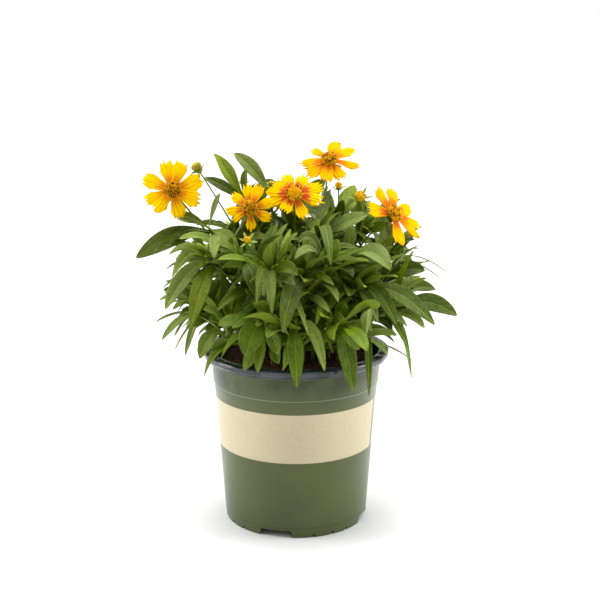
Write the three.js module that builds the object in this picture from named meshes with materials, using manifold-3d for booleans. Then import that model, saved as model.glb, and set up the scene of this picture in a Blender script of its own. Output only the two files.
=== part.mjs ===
// A tickseed (Coreopsis) in flower, growing in its one-gallon nursery pot.
// Millimetres, +Z up. The origin is on the pot's axis at the level that the pot stands on,
// and the front of the plant faces -Y.
//
// Every blade, bract and petal is fused into the stem or bloom that it grows from. The stems
// stand in plain holes in the soil, and the leaves are bent clear of each other by a record of
// the space that the plant already fills.

import * as THREE from 'three';
import { mergeVertices } from 'three/addons/utils/BufferGeometryUtils.js';
import Module from 'manifold-3d';

const wasm = await Module();
wasm.setup();

// ---- Driving dimensions ----------------------------------------------------------------------

const GAP = 0.3; // between pieces that touch

// Pot
const RIM_RADIUS = 84;
const RIM_TOP = 157.3;
const RIM_WIDEST_LEVEL = 154.3;
const LIP_LEVEL = 148.4;
const LIP_RADIUS = 78.4;
const RIM_INNER_RADIUS = 75;
const FOOT_RADIUS = 64.6;
const BODY_TOP_RADIUS = 75.7;
const COLLAR_LEVEL = 128;
const COLLAR_STEP = 0.7;
const WALL = 1.5;
const FOOT_WIDTH = 2.4;
const FLOOR_UNDERSIDE = 7.5;
const FLOOR_TOP = 9;
const POT_FACETS = 32;

// Drainage notches through the foot, a little wider at the foot than at the top.
const WIDE_NOTCH = { count: 4, first: -16, foot: 31, top: 27, height: 6.5 };
const SMALL_NOTCH = { turns: [30, 46, 60], foot: 5, top: 2.4, height: 2.6 };
const NOTCH_REACH = 6; // beyond the foot ring, inwards and outwards
const DRAIN_HOLE = { count: 4, first: 31, radius: 6, fromAxis: 46, facets: 8 };

// Soil
const SOIL_EDGE_LEVEL = 148;
const SOIL_LEVEL = 151.5;
const SOIL_FACETS = 18;
const HOLE_BOTTOM = 142;
const HOLE_FACETS = 4;

// Stems
const STEM_START = 154; // a stem stands upright up to this level
const LEAFY_RADIUS = 1.6;
const FLOWER_RADIUS = 1.2;
const BUD_RADIUS = 1;
const STEM_FACETS = 4;
const STEM_STEP = 32;
const FEWEST_STEPS = 4;

// Leaf blades
const BLADE_HALF_THICKNESS = 0.5;
const BLADE_FOLD = 0.22;
const WIDEST_AT = 0.56;
const PETIOLE_SHARE = 0.16;
const BROAD_STATIONS = [0, 0.24, 0.5, 0.8];
const NARROW_STATIONS = [0, 0.34, 0.7];
const RULE_STATIONS = [0, 0.52];
const NARROW = 10;

// Space that the plant fills
const CELL = 2.2;
const CLEARANCE = 2.2;
const SAMPLE_STEP = 1.4;
const TIP_SHIFTS = [0, -5, 5, -10, 10, -15, 15, -20, 20, -26, 26];
const SHIFT_WAY = [0, 1, -0.2];
const RISE_SHARES = [1, 1.6, 0.4];
const OWN_SHARE = 0.35; // a blade may touch its own stem's blades up to this share of its length
const HALF_WIDTH_LIMIT = 138;
const HALF_DEPTH_LIMIT = 112;
const LOWEST_LEAF = 124;
const RIM_CLEARANCE = 4;

const COLOURS = { pot: 0x5f6e49, soil: 0x4a3323, leaf: 0x567a2a, ray: 0xf6c211, disc: 0xb07a1c };

// ---- The plant -------------------------------------------------------------------------------

// A leaf: where it leaves its stem (0 foot, 1 top), its tip, its width, how far its middle
// arches up, and how far its face is turned from upwards to the front, in degrees.
const leaf = (at, tip, width, rise, turn) => ({ at, tip, width, rise, turn });

const LEAFY_STEMS = [
  { name: 'left_upper', foot: [-23, -6], top: [-78, -12, 269], leaves: [
    leaf(0.90, [-142, -5, 239], 16, 9, 62),
    leaf(0.97, [-65, -18, 299], 5, 3, 30),
    leaf(0.95, [-109, -4, 279], 8, 3, 55),
    leaf(0.99, [-107, -4, 276], 8, 3, 75),
    leaf(0.86, [-68, -62, 249], 9, 6, 60),
    leaf(0.92, [-49, -50, 254], 11, 5, 60),
  ] },
  { name: 'left_front', foot: [-30, -13], top: [-77, -38, 246], leaves: [
    leaf(0.98, [-102, -20, 252], 10, 3, 55),
    leaf(0.98, [-105, -48, 230], 13, 12, 45),
    leaf(0.90, [-112, -30, 220], 5, 4, 40),
    leaf(0.92, [-112, -52, 203], 14, 10, 50),
    leaf(0.86, [-87, -66, 192], 14, 10, 60),
  ] },
  { name: 'left_low', foot: [-38, -6], top: [-86, -22, 193], leaves: [
    leaf(0.98, [-119, -20, 168], 7, 6, 40),
    leaf(0.97, [-110, -5, 167], 5, 6, 20),
    leaf(0.90, [-111, -12, 154], 5, 6, 30),
    leaf(0.93, [-97, -34, 157], 6, 8, 30),
    leaf(0.85, [-106, 0, 172], 6, 5, 30),
  ] },
  { name: 'left_rim', foot: [-36, -26], top: [-60, -54, 179], leaves: [
    leaf(0.98, [-82, -60, 162], 11, 12, 45),
    leaf(0.55, [-77, -76, 151], 9, 10, 45),
  ] },
  { name: 'front_mid', foot: [7, -28], top: [6, -64, 235], leaves: [
    leaf(0.97, [-10, -110, 197], 14, 12, 50),
    leaf(0.45, [31, -86, 174], 10, 8, 50),
    leaf(0.60, [28, -96, 211], 7, 6, 50),
    leaf(0.99, [32, -84, 231], 6, 4, 50),
  ] },
  { name: 'front_star', foot: [-7, -33], top: [-22, -76, 241], leaves: [
    leaf(0.98, [-43, -86, 257], 6, 5, 50),
    leaf(0.98, [-32, -108, 219], 8, 14, 50),
    leaf(0.98, [-19, -101, 211], 9, 14, 50),
    leaf(0.96, [-12, -92, 231], 6, 6, 50),
    leaf(0.92, [2, -92, 241], 11, 6, 55),
    leaf(0.70, [11, -112, 194], 5, 14, 30),
  ] },
  { name: 'front_left', foot: [-15, -24], top: [-45, -62, 247], leaves: [
    leaf(0.95, [-30, -100, 221], 14, 9, 50),
    leaf(0.98, [-69, -78, 249], 8, 4, 50),
    leaf(0.88, [-25, -88, 222], 12, 6, 50),
    leaf(0.45, [-66, -72, 206], 9, 12, 50),
  ] },
  { name: 'front_low', foot: [-20, -40], top: [-26, -72, 195], leaves: [
    leaf(0.98, [-41, -96, 174], 17, 10, 60),
    leaf(0.55, [-43, -90, 160], 9, 6, 40),
    leaf(0.50, [-63, -74, 166], 9, 8, 50),
    leaf(0.75, [-31, -94, 160], 7, 5, 40),
    leaf(0.85, [-14, -84, 173], 9, 5, 70),
  ] },
  { name: 'front_rim', foot: [0, -45], top: [-4, -76, 185], leaves: [
    leaf(0.88, [1, -104, 149], 11, 22, 45),
    leaf(0.96, [24, -100, 162], 9, 16, 40),
    leaf(0.50, [-11, -90, 160], 7, 8, 45),
  ] },
  { name: 'front_right', foot: [15, -22], top: [26, -58, 242], leaves: [
    leaf(0.98, [-1, -92, 254], 9, 12, 40),
    leaf(0.98, [2, -76, 265], 9, 14, 40),
    leaf(0.94, [42, -74, 257], 4, 4, 60),
    leaf(0.90, [56, -52, 256], 6, 4, 60),
  ] },
  { name: 'top_front', foot: [7, -12], top: [19, -32, 265], leaves: [
    leaf(0.98, [61, -58, 286], 12, 2, 60),
    leaf(0.96, [29, -84, 247], 9, 12, 50),
    leaf(0.90, [31, 20, 298], 9, 2, 60),
  ] },
  { name: 'right_upper', foot: [23, -9], top: [47, -28, 242], leaves: [
    leaf(0.99, [79, -76, 242], 17, 12, 40),
    leaf(0.90, [86, -6, 250], 9, 3, 60),
    leaf(0.50, [95, -60, 190], 12, 10, 55),
  ] },
  { name: 'right_front', foot: [29, -20], top: [56, -50, 223], leaves: [
    leaf(0.97, [120, -46, 188], 14, 12, 55),
    leaf(0.98, [84, -78, 196], 12, 12, 50),
    leaf(0.88, [69, -86, 200], 9, 8, 50),
    leaf(0.75, [30, -88, 212], 13, 10, 50),
  ] },
  { name: 'right_rim', foot: [21, -39], top: [35, -68, 190], leaves: [
    leaf(0.80, [48, -92, 142], 12, 20, 45),
    leaf(0.98, [52, -84, 176], 15, 10, 50),
    leaf(0.90, [17, -86, 198], 5, 12, 50),
  ] },
  { name: 'right_low', foot: [37, -27], top: [62, -52, 176], leaves: [
    leaf(0.95, [62, -78, 133], 6, 20, 40),
    leaf(0.98, [80, -34, 159], 5, 4, 60),
    leaf(0.90, [107, -4, 144], 4, 4, 30),
  ] },
  { name: 'right_out', foot: [42, -9], top: [88, -18, 196], leaves: [
    leaf(0.98, [144, -10, 188], 15, 9, 60),
    leaf(0.96, [103, -10, 130], 5, 12, 10),
    leaf(0.80, [99, -32, 162], 6, 8, 50),
  ] },
  { name: 'right_mid', foot: [34, 2], top: [78, 2, 215], leaves: [
    leaf(0.98, [115, -5, 228], 14, 6, 60),
  ] },
  { name: 'right_back', foot: [26, 11], top: [94, 20, 238], leaves: [
    leaf(0.98, [141, 25, 218], 5, 6, 0),
    leaf(0.94, [136, 45, 210], 4, 4, 0),
    leaf(0.84, [107, -2, 256], 7, 6, 40),
    leaf(0.92, [104, 34, 239], 8, 5, 50),
  ] },
  { name: 'top_left', foot: [-11, 12], top: [-48, 20, 291], leaves: [
    leaf(0.99, [-73, 14, 330], 12, 2, 50),
    leaf(0.90, [-83, 26, 307], 9, 4, 55),
  ] },
  { name: 'top_right', foot: [11, 14], top: [38, 24, 267], leaves: [
    leaf(0.99, [55, 28, 302], 16, 2, 60),
    leaf(0.90, [43, 2, 291], 8, 3, 60),
  ] },
  { name: 'left_back', foot: [-34, 12], top: [-84, 45, 227], leaves: [] },
  { name: 'left_far', foot: [-42, 25], top: [-94, 52, 189], leaves: [] },
  { name: 'back_left', foot: [-21, 30], top: [-62, 85, 219], leaves: [] },
  { name: 'back_mid', foot: [0, 40], top: [-11, 92, 229], leaves: [
    leaf(0.95, [-24, 112, 190], 13, 14, 0),
  ] },
  { name: 'back_right', foot: [20, 33], top: [46, 88, 222], leaves: [] },
  { name: 'right_far', foot: [37, 20], top: [91, 58, 197], leaves: [] },
  { name: 'left_inner', foot: [-30, 22], top: [-56, 52, 254], leaves: [] },
  { name: 'back_inner', foot: [0, 24], top: [-4, 52, 264], leaves: [
    leaf(0.98, [28, 52, 303], 14, 4, 60),
  ] },
  { name: 'right_inner', foot: [28, 24], top: [62, 46, 256], leaves: [
    leaf(0.98, [50, 54, 295], 12, 3, 60),
  ] },
  { name: 'back_low', foot: [-12, 46], top: [-36, 102, 186], leaves: [] },
  { name: 'back_rim', foot: [14, 46], top: [26, 102, 184], leaves: [] },
];

// A bloom: the middle of its ring of rays, the way it faces, the reach of its rays, how far they
// lift (+) or droop (-) in degrees, and each ray's turn, clockwise from the top as it faces the
// viewer, with its width and its length as a share of the reach.
const BLOOMS = [
  { name: 'flower_1', foot: [-23, 5], centre: [-107, -10, 300], facing: [0, -0.96, 0.28],
    reach: 27, lift: 0, rays: [
      [-15, 13.5, 1], [18, 13, 1.05], [69, 16, 1], [111, 16, 0.98],
      [164, 14, 0.9], [220, 13, 0.86], [250, 12, 1], [294, 14, 1.06]] },
  { name: 'flower_2', foot: [-9, -18], centre: [-39, -24, 286], facing: [0.05, -0.95, 0.3],
    reach: 21, lift: -4, rays: [
      [-7, 9.5, 1.08], [23, 10.5, 1.1], [71, 10.5, 1], [119, 10, 0.94],
      [178, 9.5, 0.92], [235, 6, 0.92], [264, 9.5, 0.98], [310, 9.5, 0.98]] },
  { name: 'flower_3', foot: [0, -2], centre: [-1, -12, 297], facing: [0, -0.79, 0.61],
    reach: 25, lift: -6, rays: [
      [-20, 11.5, 1.02], [24, 12.5, 0.88], [66, 12.5, 1.02], [104, 13.5, 1.03],
      [159, 11.5, 1], [209, 12, 0.8], [255, 13, 1], [282, 12, 0.98], [308, 10, 0.96]] },
  { name: 'flower_4', foot: [8, 3], centre: [30, 20, 323], facing: [0.05, -0.65, 0.76],
    reach: 27, lift: -9, rays: [
      [-36, 9.5, 0.9], [17, 13, 1.04], [49, 11.5, 1.14], [98, 10, 1.02],
      [149, 12.5, 0.84], [192, 13, 0.9], [234, 13, 0.98], [269, 13.5, 0.97]] },
  { name: 'flower_5', foot: [17, 2], centre: [86, 0, 278], facing: [0.57, -0.655, 0.49],
    reach: 30, lift: -3, rays: [
      [-13, 12, 0.96], [26, 13.5, 1], [80, 13, 0.92], [114, 9.5, 1.08],
      [133, 8.5, 1.12], [187, 14, 0.92], [290, 14.5, 0.92]] },
];
const FLOWER_5_LEAVES = [leaf(0.80, [79, 6, 270], 9, 0, 60)];

// A bud: the middle of its head, the way it points, the radius of its head, and the length of
// its bracts. It stands on a stalk of its own from the soil, or on a branch of a leafy stem.
const BUDS = [
  { name: 'bud_1', foot: [-15, 3], centre: [-87, 0, 320], facing: [-0.5, -0.2, 0.84],
    radius: 4.8, bract: 9 },
  { name: 'bud_2', branchOf: 'front_left', at: 0.88, centre: [-40, -64, 266],
    facing: [0, -0.75, 0.65], radius: 2.8, bract: 9 },
  { name: 'bud_3', foot: [18, 15], centre: [57, 6, 293], facing: [0.1, -0.75, 0.65],
    radius: 5, bract: 14 },
  { name: 'bud_4', branchOf: 'top_right', at: 0.9, centre: [39, 38, 299],
    facing: [0, -0.3, 0.95], radius: 3.4, bract: 8 },
  { name: 'bud_5', branchOf: 'top_left', at: 0.93, centre: [-47, 34, 305],
    facing: [0, -0.3, 0.95], radius: 3.4, bract: 7 },
  { name: 'bud_6', foot: [-3, 8], centre: [-22, 10, 304], facing: [0, -0.2, 0.98],
    radius: 2.6, bract: 10 },
];
const BUD_6_LEAVES = [leaf(0.93, [-56, 30, 329], 12, 4, 50)];

// Bloom and bud sections, as [radius, height] along the axis that the bloom faces.
const RECEPTACLE = [[0, -0.95], [7, -0.95], [7, 0.95], [0, 0.95]];
const RECEPTACLE_FACETS = 8;
const RAY_ROOT = 5.4;
const RAY_THICKNESS = 0.8;
const RAY_LAYER = 0.45; // rays lie by turns this much above and below the middle of the ring
const RAY_SIDE = [[0.22, 0], [0.5, 0.8]]; // half width and place, as shares of width and length
const RAY_TEETH = 3;
const TOOTH_DEPTH = 3;
const DISC = [[7.2, 2], [6.9, 3.1], [5.6, 4.2], [3.9, 4.9], [2, 5.3]];
const DISC_UNDERSIDE = 1.25;
const DISC_TOP = 5.3;
const DISC_FACETS = 12;
const FLORET_HEIGHT = 0.9;
const FULL_DISC_REACH = 24; // a bloom of a smaller reach has a narrower disc
const CUP = [[0, -8], [1.7, -8], [3.2, -6.4], [6.2, -2.6], [6.2, -1.25], [0, -1.25]];
const CUP_TOP = 1.25;
const CUP_DEPTH = 5;
const CUP_FACETS = 8;
const BRACT_THICKNESS = 0.4; // as a share of its width
const OUTER_BRACTS = { count: 8, length: 9, width: 3, root: 3, level: -4, droop: -1.5 };
const BUD_BRACTS = 6;
const BUD_FACETS = 8;
const BUD_SECTIONS = 4;

// Leaves placed by rule, in opposite pairs, each pair turned a right angle from the last. A stem
// with more leaves of its own than FEW_OWN_LEAVES gets every other pair.
const RULE = {
  pairs: [0.22, 0.46, 0.7, 0.93],
  tries: 14,
  length: [34, 64],
  width: [7, 12.5],
  outwardPitch: [-30, 40],
  inwardPitch: [15, 66],
  turnSpread: 66,
  rise: 0.13,
  rollSpread: 48,
};
const FEW_OWN_LEAVES = 2;

// ---- Vectors ---------------------------------------------------------------------------------

const RADIANS = Math.PI / 180;
const UP = [0, 0, 1];

const plus = (a, b) => [a[0] + b[0], a[1] + b[1], a[2] + b[2]];
const times = (a, k) => [a[0] * k, a[1] * k, a[2] * k];
const minus = (a, b) => plus(a, times(b, -1));
const mix = (a, b, t) => plus(times(a, 1 - t), times(b, t));
const dot = (a, b) => a[0] * b[0] + a[1] * b[1] + a[2] * b[2];
const cross = (a, b) => [
  a[1] * b[2] - a[2] * b[1], a[2] * b[0] - a[0] * b[2], a[0] * b[1] - a[1] * b[0],
];
const size = (a) => Math.sqrt(dot(a, a));
const unit = (a) => times(a, 1 / size(a));
const vector = (a) => new THREE.Vector3(...a);
const atAzimuth = (degrees, radius) => [
  radius * Math.sin(degrees * RADIANS), -radius * Math.cos(degrees * RADIANS), 0,
];

// ---- Solids ----------------------------------------------------------------------------------

function toSolid(geometry) {
  geometry.deleteAttribute('normal');
  geometry.deleteAttribute('uv');
  const merged = mergeVertices(geometry, 1e-4);
  return new wasm.Manifold(new wasm.Mesh({
    numProp: 3,
    vertProperties: new Float32Array(merged.attributes.position.array),
    triVerts: new Uint32Array(merged.index.array),
  }));
}

function toMesh(solid, name, colour, roughness) {
  const { vertProperties, triVerts } = solid.getMesh();
  const geometry = new THREE.BufferGeometry();
  geometry.setAttribute('position', new THREE.BufferAttribute(vertProperties, 3));
  geometry.setIndex(new THREE.BufferAttribute(triVerts, 1));
  geometry.computeVertexNormals();
  const material = new THREE.MeshStandardMaterial({ color: colour, roughness, metalness: 0 });
  const mesh = new THREE.Mesh(geometry, material);
  mesh.name = name;
  return mesh;
}

// The outer skin of a fused solid, with any hollow that the fusing sealed left filled.
function outerSkin(solid) {
  const skins = solid.decompose();
  return skins.reduce((largest, skin) => (skin.volume() > largest.volume() ? skin : largest));
}

// A solid of revolution about +Z, from a profile of [radius, height] points.
function turned(profile, facets) {
  const points = profile.map(([radius, height]) => new THREE.Vector2(radius, height));
  return new THREE.LatheGeometry(points, facets).rotateX(Math.PI / 2);
}

// ---- Pot and soil ----------------------------------------------------------------------------

const wallRadius = (level) => (
  FOOT_RADIUS + (BODY_TOP_RADIUS - FOOT_RADIUS) * level / LIP_LEVEL
);

function potShell() {
  return turned([
    [0, FLOOR_UNDERSIDE],
    [FOOT_RADIUS - FOOT_WIDTH - 0.8, FLOOR_UNDERSIDE],
    [FOOT_RADIUS - FOOT_WIDTH, 0],
    [FOOT_RADIUS, 0],
    [wallRadius(COLLAR_LEVEL), COLLAR_LEVEL - 0.5],
    [wallRadius(COLLAR_LEVEL) + COLLAR_STEP, COLLAR_LEVEL + 0.5],
    [wallRadius(LIP_LEVEL) + COLLAR_STEP, LIP_LEVEL],
    [LIP_RADIUS, LIP_LEVEL],
    [RIM_RADIUS, RIM_WIDEST_LEVEL],
    [RIM_RADIUS - 0.9, RIM_TOP],
    [RIM_INNER_RADIUS, RIM_TOP],
    [wallRadius(LIP_LEVEL) - WALL, LIP_LEVEL],
    [wallRadius(FLOOR_TOP) - WALL, FLOOR_TOP],
    [0, FLOOR_TOP],
  ], POT_FACETS);
}

function notch(azimuth, { foot, top, height }) {
  const corners = [
    [-foot / 2, -1], [foot / 2, -1], [foot / 2, 0],
    [top / 2, height], [-top / 2, height], [-foot / 2, 0],
  ];
  const shape = new THREE.Shape(corners.map(([x, y]) => new THREE.Vector2(x, y)));
  const cut = new THREE.ExtrudeGeometry(shape, { depth: 2 * NOTCH_REACH, bevelEnabled: false });
  cut.rotateX(Math.PI / 2).translate(0, NOTCH_REACH - FOOT_RADIUS, 0);
  return toSolid(cut.rotateZ(azimuth * RADIANS));
}

function pot() {
  let solid = toSolid(potShell());
  for (let turn = 0; turn < WIDE_NOTCH.count; turn += 1) {
    const azimuth = WIDE_NOTCH.first + turn * 360 / WIDE_NOTCH.count;
    solid = solid.subtract(notch(azimuth, WIDE_NOTCH));
    for (const offset of SMALL_NOTCH.turns) {
      solid = solid.subtract(notch(azimuth + offset, SMALL_NOTCH));
    }
  }
  const { count, first, radius, fromAxis, facets } = DRAIN_HOLE;
  for (let turn = 0; turn < count; turn += 1) {
    const [x, y] = atAzimuth(first + turn * 360 / count, fromAxis);
    const drill = new THREE.CylinderGeometry(radius, radius, 8, facets);
    solid = solid.subtract(toSolid(drill.rotateX(Math.PI / 2).translate(x, y, FLOOR_TOP)));
  }
  return toMesh(solid, 'pot', COLOURS.pot, 0.45);
}

const lumps = (x, y) => (
  0.8 * Math.sin(0.31 * x + 1.3) * Math.sin(0.37 * y + 0.4) + 0.6 * Math.sin(0.83 * x + 0.61 * y)
);

function soil(feet) {
  const inside = (level) => (wallRadius(level) - WALL) * Math.cos(Math.PI / POT_FACETS) - GAP;
  const geometry = turned([
    [0, FLOOR_TOP + GAP], [inside(FLOOR_TOP + GAP) - GAP, FLOOR_TOP + GAP],
    [inside(SOIL_EDGE_LEVEL), SOIL_EDGE_LEVEL],
    [64, SOIL_EDGE_LEVEL + 1.5], [47, SOIL_LEVEL], [26, SOIL_LEVEL], [0, SOIL_LEVEL],
  ], SOIL_FACETS);
  const position = geometry.attributes.position;
  for (let i = 0; i < position.count; i += 1) {
    if (position.getZ(i) > SOIL_EDGE_LEVEL + 1) {
      position.setZ(i, position.getZ(i) + lumps(position.getX(i), position.getY(i)));
    }
  }
  let solid = toSolid(geometry);
  const deep = STEM_START + 8 - HOLE_BOTTOM;
  for (const { foot, radius } of feet) {
    const bore = (radius + GAP) / Math.cos(Math.PI / HOLE_FACETS);
    const drill = new THREE.CylinderGeometry(bore, bore, deep, HOLE_FACETS);
    drill.rotateX(Math.PI / 2).translate(foot[0], foot[1], HOLE_BOTTOM + deep / 2);
    solid = solid.subtract(toSolid(drill));
  }
  return toMesh(solid, 'soil', COLOURS.soil, 0.95);
}

// ---- Stems -----------------------------------------------------------------------------------

// A stalk is a cubic curve of four points. One from the soil starts upright.
function leafyStalk({ foot, top }) {
  const start = [...foot, STEM_START];
  const height = top[2] - STEM_START;
  const lean = mix(start, top, 0.62);
  return [
    start, plus(start, [0, 0, 0.45 * height]), [lean[0], lean[1], STEM_START + 0.86 * height], top,
  ];
}

function aimedStalk(start, leave, top, aim) {
  const reach = 0.28 * size(minus(top, start));
  return [start, plus(start, times(leave, reach)), minus(top, times(aim, reach)), top];
}

function pointOn([a, b, c, d], t) {
  const s = 1 - t;
  const left = plus(times(a, s * s * s), times(b, 3 * s * s * t));
  return plus(left, plus(times(c, 3 * s * t * t), times(d, t * t * t)));
}

function directionOn([a, b, c, d], t) {
  const s = 1 - t;
  const ends = plus(times(minus(b, a), s * s), times(minus(d, c), t * t));
  return unit(plus(ends, times(minus(c, b), 2 * s * t)));
}

// A stalk's path. One that is rooted gives its first step to the upright root in its hole.
class StalkPath extends THREE.Curve {
  constructor(stalk, rooted) {
    super();
    this.stalk = stalk;
    this.steps = Math.max(FEWEST_STEPS, Math.round(size(minus(stalk[3], stalk[0])) / STEM_STEP));
    this.root = rooted ? 1 / (this.steps + 1) : 0;
    if (rooted) this.steps += 1;
  }

  getUtoTmapping(share) {
    return share;
  }

  getPoint(share) {
    if (share >= this.root) {
      return vector(pointOn(this.stalk, (share - this.root) / (1 - this.root)));
    }
    const start = this.stalk[0];
    const bottom = [start[0], start[1], HOLE_BOTTOM + GAP];
    return vector(mix(bottom, start, share / this.root));
  }
}

function tube(stalk, radius, rooted) {
  const path = new StalkPath(stalk, rooted);
  const section = new THREE.Shape();
  for (let i = 0; i < STEM_FACETS; i += 1) {
    const angle = i * 2 * Math.PI / STEM_FACETS;
    const corner = [radius * Math.cos(angle), radius * Math.sin(angle)];
    if (i === 0) section.moveTo(...corner);
    else section.lineTo(...corner);
  }
  return toSolid(new THREE.ExtrudeGeometry(section, {
    steps: path.steps, extrudePath: path, bevelEnabled: false,
  }));
}

// ---- Blades ----------------------------------------------------------------------------------

// Half of a leaf's width at a share of its length, as a share of half its greatest width.
function outline(share) {
  if (share < WIDEST_AT) {
    const swell = Math.sin(Math.PI / 2 * (share / WIDEST_AT) ** 1.5);
    return PETIOLE_SHARE + (1 - PETIOLE_SHARE) * swell;
  }
  return Math.cos(Math.PI / 2 * (share - WIDEST_AT) / (1 - WIDEST_AT)) ** 0.8;
}

// The section of a blade at a share of its length: middle, way across, way up and half width.
function bladeAt(blade, share) {
  const { base, tip, rise, face, width } = blade;
  const bend = plus(mix(base, tip, 0.5), [0, 0, 2 * rise]);
  const s = 1 - share;
  const ends = plus(times(base, s * s), times(tip, share * share));
  const middle = plus(ends, times(bend, 2 * s * share));
  const along = unit(plus(times(minus(bend, base), s), times(minus(tip, bend), share)));
  const across = unit(cross(along, face));
  return { middle, across, up: cross(across, along), half: width / 2 * outline(share) };
}

// A closed blade with a shallow fold along its middle. Both faces are split alike.
function bladeGeometry(blade, stations) {
  const points = [];
  for (const share of stations) {
    const { middle, across, up, half } = bladeAt(blade, share);
    const folded = plus(middle, times(up, BLADE_FOLD * half));
    points.push(
      minus(folded, times(across, half)), plus(middle, times(up, BLADE_HALF_THICKNESS)),
      plus(folded, times(across, half)), minus(middle, times(up, BLADE_HALF_THICKNESS)),
    );
  }
  points.push(blade.tip);
  const faces = [0, 3, 1, 2, 1, 3];
  for (let ring = 0; ring + 1 < stations.length; ring += 1) {
    const [left, top, right, under] = [0, 1, 2, 3].map((k) => ring * 4 + k);
    const [left2, top2, right2, under2] = [0, 1, 2, 3].map((k) => ring * 4 + 4 + k);
    faces.push(left, top, top2, left, top2, left2, top, right, top2, right, right2, top2);
    faces.push(right, under, under2, right, under2, right2, under, left, under2);
    faces.push(left, left2, under2);
  }
  const last = (stations.length - 1) * 4;
  const end = points.length - 1;
  for (let k = 0; k < 4; k += 1) {
    faces.push(last + k, last + (k + 1) % 4, end);
  }
  const geometry = new THREE.BufferGeometry();
  geometry.setAttribute('position', new THREE.Float32BufferAttribute(points.flat(), 3));
  geometry.setIndex(faces);
  return toSolid(geometry);
}

// ---- Space that the plant fills --------------------------------------------------------------

// Each cell of space holds the parts that reach into it, as twice the number of their stem,
// plus one for a blade.
const space = new Map();

const cellOf = (x, y, z) => (
  (Math.floor(x / CELL) + 128) * 65536 + (Math.floor(y / CELL) + 128) * 256 + Math.floor(z / CELL)
);

function claim(point, part) {
  for (const dx of [-CLEARANCE, 0, CLEARANCE]) {
    for (const dy of [-CLEARANCE, 0, CLEARANCE]) {
      for (const dz of [-CLEARANCE, 0, CLEARANCE]) {
        const cell = cellOf(point[0] + dx, point[1] + dy, point[2] + dz);
        if (!space.has(cell)) space.set(cell, new Set());
        space.get(cell).add(part);
      }
    }
  }
}

function claimStalk(stalk, owner) {
  const steps = Math.ceil(size(minus(stalk[3], stalk[0])) * 1.3 / SAMPLE_STEP);
  for (let i = 0; i <= steps; i += 1) claim(pointOn(stalk, i / steps), owner * 2);
}

// Points spread over a blade, each with its share of the blade's length.
function bladePoints(blade) {
  const points = [];
  const rows = Math.ceil((size(minus(blade.tip, blade.base)) + 2 * blade.rise) / SAMPLE_STEP);
  for (let row = 0; row <= rows; row += 1) {
    const share = row / rows;
    const { middle, across, half } = bladeAt(blade, share);
    const columns = Math.max(1, Math.ceil(half / SAMPLE_STEP));
    for (let column = -columns; column <= columns; column += 1) {
      points.push([share, plus(middle, times(across, half * column / columns))]);
    }
  }
  return points;
}

function insideLimits(point, share) {
  if (share < 0.2) return true;
  const [x, y, z] = point;
  const overRim = Math.hypot(x, y) < RIM_RADIUS + RIM_CLEARANCE;
  return z > LOWEST_LEAF && !(overRim && z < RIM_TOP + RIM_CLEARANCE);
}

function isFree(points, owner) {
  return points.every(([share, point]) => {
    if (!insideLimits(point, share)) return false;
    const parts = space.get(cellOf(...point));
    if (!parts) return true;
    return [...parts].every((part) => (
      Math.floor(part / 2) === owner && (share < OWN_SHARE || part % 2 === 0)
    ));
  });
}

function claimBlade(points, owner) {
  for (const [share, point] of points) claim(point, owner * 2 + (share < OWN_SHARE ? 0 : 1));
}

// ---- Leaves ----------------------------------------------------------------------------------

// A leaf placed by hand, its tip brought forwards or taken back until it is clear.
function placeLeaf(plan, stem) {
  const turn = plan.turn * RADIANS;
  for (const share of RISE_SHARES) {
    for (const shift of TIP_SHIFTS) {
      const blade = {
        base: pointOn(stem.stalk, plan.at),
        tip: plus(plan.tip, times(SHIFT_WAY, shift)),
        rise: plan.rise * share,
        face: [0, -Math.sin(turn), Math.cos(turn)],
        width: plan.width,
      };
      const points = bladePoints(blade);
      if (Math.abs(blade.tip[1]) <= HALF_DEPTH_LIMIT && isFree(points, stem.owner)) {
        claimBlade(points, stem.owner);
        const stations = plan.width > NARROW ? BROAD_STATIONS : NARROW_STATIONS;
        stem.blades.push(bladeGeometry(blade, stations));
        return;
      }
    }
  }
  console.error('no room for a leaf of', stem.name, plan.tip);
}

// A repeatable stream of numbers from 0 to 1.
function randomStream(seed) {
  let state = seed;
  return () => {
    state = (state * 1664525 + 1013904223) % 4294967296;
    return state / 4294967296;
  };
}

const between = ([low, high], draw) => low + (high - low) * draw;

// A leaf grown by rule from a point on a stem, towards an azimuth.
function growLeaf(stem, at, azimuth, random) {
  const base = pointOn(stem.stalk, at);
  for (let attempt = 0; attempt < RULE.tries; attempt += 1) {
    const draws = [random(), random(), random(), random(), random()];
    const heading = azimuth + RULE.turnSpread * (2 * draws[0] - 1);
    const level = [Math.cos(heading * RADIANS), Math.sin(heading * RADIANS), 0];
    const outwards = dot(level, unit([base[0], base[1], 0])) > 0;
    const pitch = between(outwards ? RULE.outwardPitch : RULE.inwardPitch, draws[1]) * RADIANS;
    const chord = plus(times(level, Math.cos(pitch)), [0, 0, Math.sin(pitch)]);
    const length = between(RULE.length, draws[2]);
    const upright = unit(minus(UP, times(chord, dot(UP, chord))));
    const roll = RULE.rollSpread * (2 * draws[4] - 1) * RADIANS;
    const blade = {
      base,
      tip: plus(base, times(chord, length)),
      rise: RULE.rise * length * Math.cos(pitch),
      face: unit(plus(upright, times(cross(chord, upright), Math.tan(roll)))),
      width: between(RULE.width, draws[3]),
    };
    const inReach = Math.abs(blade.tip[0]) < HALF_WIDTH_LIMIT
      && Math.abs(blade.tip[1]) < HALF_DEPTH_LIMIT;
    const points = bladePoints(blade);
    if (inReach && isFree(points, stem.owner)) {
      claimBlade(points, stem.owner);
      stem.blades.push(bladeGeometry(blade, RULE_STATIONS));
      return;
    }
  }
}

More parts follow.
